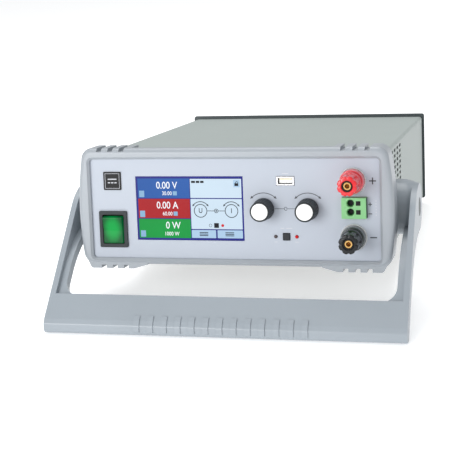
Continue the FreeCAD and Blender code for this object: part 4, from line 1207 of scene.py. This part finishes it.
@dataclass
class MainsRocker:
    """The lit mains rocker in its dark rim."""

    x: float = -107.6
    z: float = -20.3
    well_half: Point2 = (9.75, 12.95)
    well_front: float = 2.6
    well_back: float = 12.0
    wall: float = 0.3

    def build(self) -> None:
        """Make the rim and the rocker."""
        finer_copy("rocker_frame", "rocker_surround", Role("case", "black_plastic", "rocker_rim"),
                   SoftEdges(0.6, 3, 40.0))
        finer_copy("rocker_lever", "rocker_cap", Role("rocker", "rocker_green", "rocker_green"),
                   SoftEdges(1.8, 5, 30.0))
        # painted shade: black gloss walls, darker than the rim, line the gap round the lever
        rocker_gap_shade = Shape()
        x0, x1 = self.x - self.well_half[0], self.x + self.well_half[0]
        z0, z1 = self.z - self.well_half[1], self.z + self.well_half[1]
        front, back, wall = self.well_front, self.well_back, self.wall
        for low, high in (
            ((x0, front, z0), (x0 + wall, back, z1)), ((x1 - wall, front, z0), (x1, back, z1)),
            ((x0, front, z0), (x1, back, z0 + wall)), ((x0, front, z1 - wall), (x1, back, z1)),
        ):
            rocker_gap_shade.block(low, high)
        rocker_gap_shade.piece("rocker_gap_painted_shade", Role("case", "black_plastic", "black_gloss"), smooth=False)


@dataclass
class RotaryKnob:
    """One fluted push-and-turn knob with its flat pale cap."""

    name: str
    x: float
    z: float = -1.6
    base_radius: float = 9.3
    front_radius: float = 8.5
    front: float = -13.0
    base: float = 3.0
    flutes: int = 24

    def build(self) -> None:
        """Make the knob and its cap, and dress the encoder behind it."""
        centre = (self.x, self.z)
        grip = Shape().turned(self.profile(), centre, self.flutes * 8)
        grip.lobed(centre, self.flutes, 0.5, (self.front + 0.5, self.base - 2.4), self.front_radius - 0.5)
        body = self.name + "_dial"
        grip.piece(self.name + "_grip", Role(body, "knob_slate", "knob_slate", (self.name + "_knob",)))
        cap = Shape().turned([
            (0.0, self.front + 1.4), (7.0, self.front + 1.4), (7.0, self.front - 0.05),
            (6.8, self.front - 0.22), (6.4, self.front - 0.3), (0.0, self.front - 0.3),
        ], centre, 72)
        cap.piece(self.name + "_cap", Role(body, "cap_white", "knob_cap_white", (self.name + "_knob_cap",)))
        dress(self.name + "_encoder", "steel_plain")
        dress(self.name + "_plunger", "steel_plain")

    def profile(self) -> List[Point2]:
        """The knob's outside, from its front recess to its hollow back.

        Returns:
            Radius and Y of each corner.
        """
        front, base = self.front, self.base
        steps = 6
        side = [
            (self.front_radius + (self.base_radius - self.front_radius) * i / steps,
             front + 0.7 + (base - 2.4 - front - 0.7) * i / steps)
            for i in range(steps + 1)
        ]
        return [
            (0.0, front + 1.4), (7.1, front + 1.4), (7.1, front + 0.15), (7.25, front),
            (self.front_radius - 0.55, front), (self.front_radius - 0.15, front + 0.25),
        ] + side + [
            (self.base_radius + 0.1, base - 1.9), (self.base_radius + 0.1, base - 0.4),
            (self.base_radius - 0.3, base), (6.6, base), (6.6, base - 6.0), (3.2, base - 6.0),
            (3.2, base - 9.0), (0.0, base - 9.0),
        ]


@dataclass
class BindingPost:
    """One insulated screw post with its clear collar, lobed nut and bored core."""

    name: str
    z: float
    grip: str
    clear: str
    slot: str
    x: float = 104.2
    panel: float = 4.0
    collar_front: float = -5.0
    nut_back: float = -6.6
    nut_front: float = -27.6
    lobes: int = 8

    def build(self) -> None:
        """Make the collar, ring, nut, insert and core."""
        centre = (self.x, self.z)
        self.build_collar(centre)
        self.build_nut(centre)
        dress(self.name + "_stud", "brass_turned")
        dress(self.name + "_washer", "brass_turned")

    def build_collar(self, centre: Point2) -> None:
        """Make the clear collar and the pale ring at its foot.

        Args:
            centre: X and Z of the post's axis.
        """
        panel, front = self.panel, self.collar_front
        collar = Shape().turned([
            (3.15, panel), (10.3, panel), (10.5, panel - 0.3), (10.2, front + 0.8), (9.9, front + 0.25),
            (9.4, front), (3.15, front),
        ], centre, 72, closed=True)
        collar.piece(self.name + "_clear_collar",
                     Role("case", self.slot, self.clear, (self.name + "_collar",)))
        ring = Shape().turned([
            (10.55, panel), (11.5, panel), (11.6, panel - 0.5), (11.35, panel - 1.3), (10.9, panel - 1.6),
            (10.55, panel - 1.5),
        ], centre, 72, closed=True)
        ring.piece(self.name + "_foot_ring", Role("case", self.slot, "clear_ring"))

    def build_nut(self, centre: Point2) -> None:
        """Make the lobed nut with the dark insert in its mouth.

        Args:
            centre: X and Z of the post's axis.
        """
        front, back = self.nut_front, self.nut_back
        rows = 7
        side = [(8.4, front + 1.0 + 12.0 * i / rows) for i in range(rows + 1)]
        nut = Shape().turned([
            (4.7, front + 4.0), (4.7, front + 0.35), (5.05, front), (7.4, front), (8.0, front + 0.3),
        ] + side + [
            (8.5, back - 6.6), (9.0, back - 5.6), (9.1, back - 0.4), (8.8, back), (3.2, back),
            (3.2, front + 4.0),
        ], centre, self.lobes * 20, closed=True)
        nut.lobed(centre, self.lobes, 0.95, (front - 0.01, front + 13.1), 7.2)
        body = self.name + "_screw"
        nut.piece(self.name + "_grip_nut", Role(body, self.slot, self.grip, (self.name + "_nut",)))
        insert = Shape().turned([
            (3.2, front + 3.9), (3.2, front + 1.1), (3.45, front + 0.8), (4.35, front + 0.8),
            (4.65, front + 1.1), (4.65, front + 3.9),
        ], centre, 48, closed=True)
        insert.piece(self.name + "_insert", Role(body, self.slot, "black_gloss"))


@dataclass
class SenseConnector:
    """The green push-in plug with round wire funnels and square release slots."""

    x: float = 105.5
    width: float = 20.7
    height: float = 17.5

    def build(self) -> None:
        """Make the plug and paint shade on it: darker green funnels and right end face, dark discs in the
        funnels and dark tiles over the release slots.
        """
        finer_copy("sense_plug", "sense_block", Role("sense", "sense_green", "sense_green"),
                   SoftEdges(0.25, 2, 40.0))
        dark = Shape()
        green = Shape()
        # painted shade: darker green funnels, dark discs at their bottoms and dark tiles over the release
        # slots
        for z in (4.3, -3.2):
            green.turned([(3.45, -2.06), (3.45, -2.0), (2.14, 2.0), (2.1, 1.94)], (self.x - 2.8, z), 40,
                         closed=True)
            dark.turned([(0.0, 2.6), (2.15, 2.6), (2.15, 2.4), (0.0, 2.4)], (self.x - 2.8, z), 32)
            dark.tile((self.x + 1.85, z - 1.95), (self.x + 5.75, z + 1.95), -2.06, -1.98, 0.3)
        # painted shade: a thin darker green sheet on the plug's right end face
        edge = self.x + self.width / 2.0
        half = self.height / 2.0 - 0.3
        green.tile((edge - 0.02, -half), (edge + 0.04, half), -1.7, 11.0)
        green.piece("sense_funnels_painted_shade", Role("sense", "matt_black", "sense_green_painted_shade"))
        dark.piece("sense_holes_painted_shade", Role("sense", "matt_black", "black_matt"))
        dress("sense_header", "black_matt")


@dataclass
class RearAndInside:
    """Rear fittings and everything that shows only through vents and gaps."""

    kept: Dict[str, str] = field(default_factory=lambda: {
        "fan_frame": "black_matt", "fan_rotor": "black_gloss", "fan_guard": "steel_plain",
        "fuse_drawer": "black_matt", "service_socket": "steel_plain",
        "front_board": "board_green", "main_board": "board_green", "heat_sinks": "aluminium_fin",
        "transformer": "ferrite", "capacitors": "can_sleeve", "choke": "copper_wire",
        "display_module": "steel_plain", "button_switch": "black_matt",
    })

    def build(self) -> None:
        """Dress the kept nodes and round the sockets' edges."""
        for node, finish in self.kept.items():
            dress(node, finish)
        finer_copy("mains_inlet", "mains_inlet_shell", Role("case", "matt_black", "black_matt"),
                   SoftEdges(0.4, 2, 40.0))
        finer_copy("dsub_socket", "analogue_socket", Role("case", "steel", "steel_plain"),
                   SoftEdges(0.15, 2, 40.0))


# === studio =====================================================================================
@dataclass
class Studio:
    """Floor, lights and the camera."""

    camera_case: Point3 = (261.3, -1009.6, 172.0)
    yaw: float = -14.101
    pitch: float = -7.694
    roll: float = -2.029
    lens: float = 99.27
    shift: Tuple[float, float] = (-0.03, -0.12)
    sensor_width: float = 36.0
    floor_half: float = 4.0
    floor_glow: float = 0.38
    room_colour: Colour = (0.97, 0.985, 1.0, 1.0)
    room_power: float = 0.56
    light_aim: Point3 = (0.0, -0.05, 0.06)

    def build(self) -> None:
        """Set up the studio."""
        self.build_floor()
        self.build_world()
        self.build_lights()
        self.build_camera()

    def build_floor(self) -> None:
        """Make the pale floor."""
        bm = bmesh.new()
        bmesh.ops.create_grid(bm, x_segments=1, y_segments=1, size=self.floor_half)
        mesh = bpy.data.meshes.new("floor")
        bm.to_mesh(mesh)
        bm.free()
        floor = bpy.data.objects.new("floor", mesh)
        bpy.context.scene.collection.objects.link(floor)
        paint = Paint("floor_paper")
        point = paint.case_point()
        tone = paint.noise(point, 300.0, 2.0)
        paint.set(
            Base_Color=paint.blend(tone, srgb(248, 248, 249), srgb(252, 252, 252)),
            Roughness=0.9,
            Emission_Color=WHITE,
            Emission_Strength=self.floor_glow,
        )
        mesh.materials.append(paint.material)

    def build_world(self) -> None:
        """Fill the room with even white light."""
        world = bpy.data.worlds.new("studio_world")
        bpy.context.scene.world = world
        world.use_nodes = True
        background = world.node_tree.nodes["Background"]
        background.inputs[0].default_value = self.room_colour
        background.inputs[1].default_value = self.room_power
        bpy.context.scene.view_settings.view_transform = "Standard"

    def build_lights(self) -> None:
        """Hang three large soft lights round the instrument."""
        for name, place, size, power in (
            ("key_light", (-0.75, -1.8, 0.55), 0.9, 19.0),
            ("fill_light", (1.3, -1.4, 0.5), 0.6, 1.5),
            ("top_light", (-0.2, 0.4, 1.8), 1.3, 18.0),
        ):
            data = bpy.data.lights.new(name, "AREA")
            data.shape = "SQUARE"
            data.size = size
            data.energy = power
            lamp = bpy.data.objects.new(name, data)
            bpy.context.scene.collection.objects.link(lamp)
            lamp.location = place
            aim = Vector(self.light_aim) - Vector(place)
            lamp.rotation_euler = aim.to_track_quat("-Z", "Y").to_euler()

    def build_camera(self) -> None:
        """Place the camera in front, above and to the right."""
        data = bpy.data.cameras.new("camera")
        data.lens = self.lens
        data.sensor_width = self.sensor_width
        data.shift_x, data.shift_y = self.shift
        data.clip_start = 0.05
        camera = bpy.data.objects.new("camera", data)
        bpy.context.scene.collection.objects.link(camera)
        yaw, pitch = math.radians(self.yaw), math.radians(self.pitch)
        ahead = Vector((math.sin(yaw) * math.cos(pitch), math.cos(yaw) * math.cos(pitch), math.sin(pitch)))
        right = ahead.cross(Vector((0.0, 0.0, 1.0))).normalized()
        turn = Matrix.Rotation(math.radians(self.roll), 3, -ahead)
        right = turn @ right
        upward = right.cross(ahead)
        axes = Matrix((right, upward, -ahead)).transposed().to_4x4()
        tilt = Matrix.Rotation(-CASE.tilt, 4, "X")
        camera.matrix_world = Matrix.Translation(CASE.place(*self.camera_case)) @ tilt @ axes
        bpy.context.scene.camera = camera


def main() -> None:
    """Build the instrument's looks in order."""
    logging.basicConfig(level=logging.INFO, format="%(name)s: %(message)s")
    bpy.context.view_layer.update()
    sections = [
        Enclosure(),
        CarryHandle(),
        FrontPanel(),
        Screen(),
        MainsRocker(),
        RotaryKnob("voltage", 27.6),
        RotaryKnob("current", 65.9),
        BindingPost("positive", 22.3, "red_grip", "red_clear", "post_red"),
        BindingPost("negative", -25.5, "black_grip", "smoke_clear", "post_black"),
        SenseConnector(),
        RearAndInside(),
        Studio(),
    ]
    for section in sections:
        section.build()
        LOG.info("%s done", type(section).__name__)


if __name__ == "__main__":
    main()
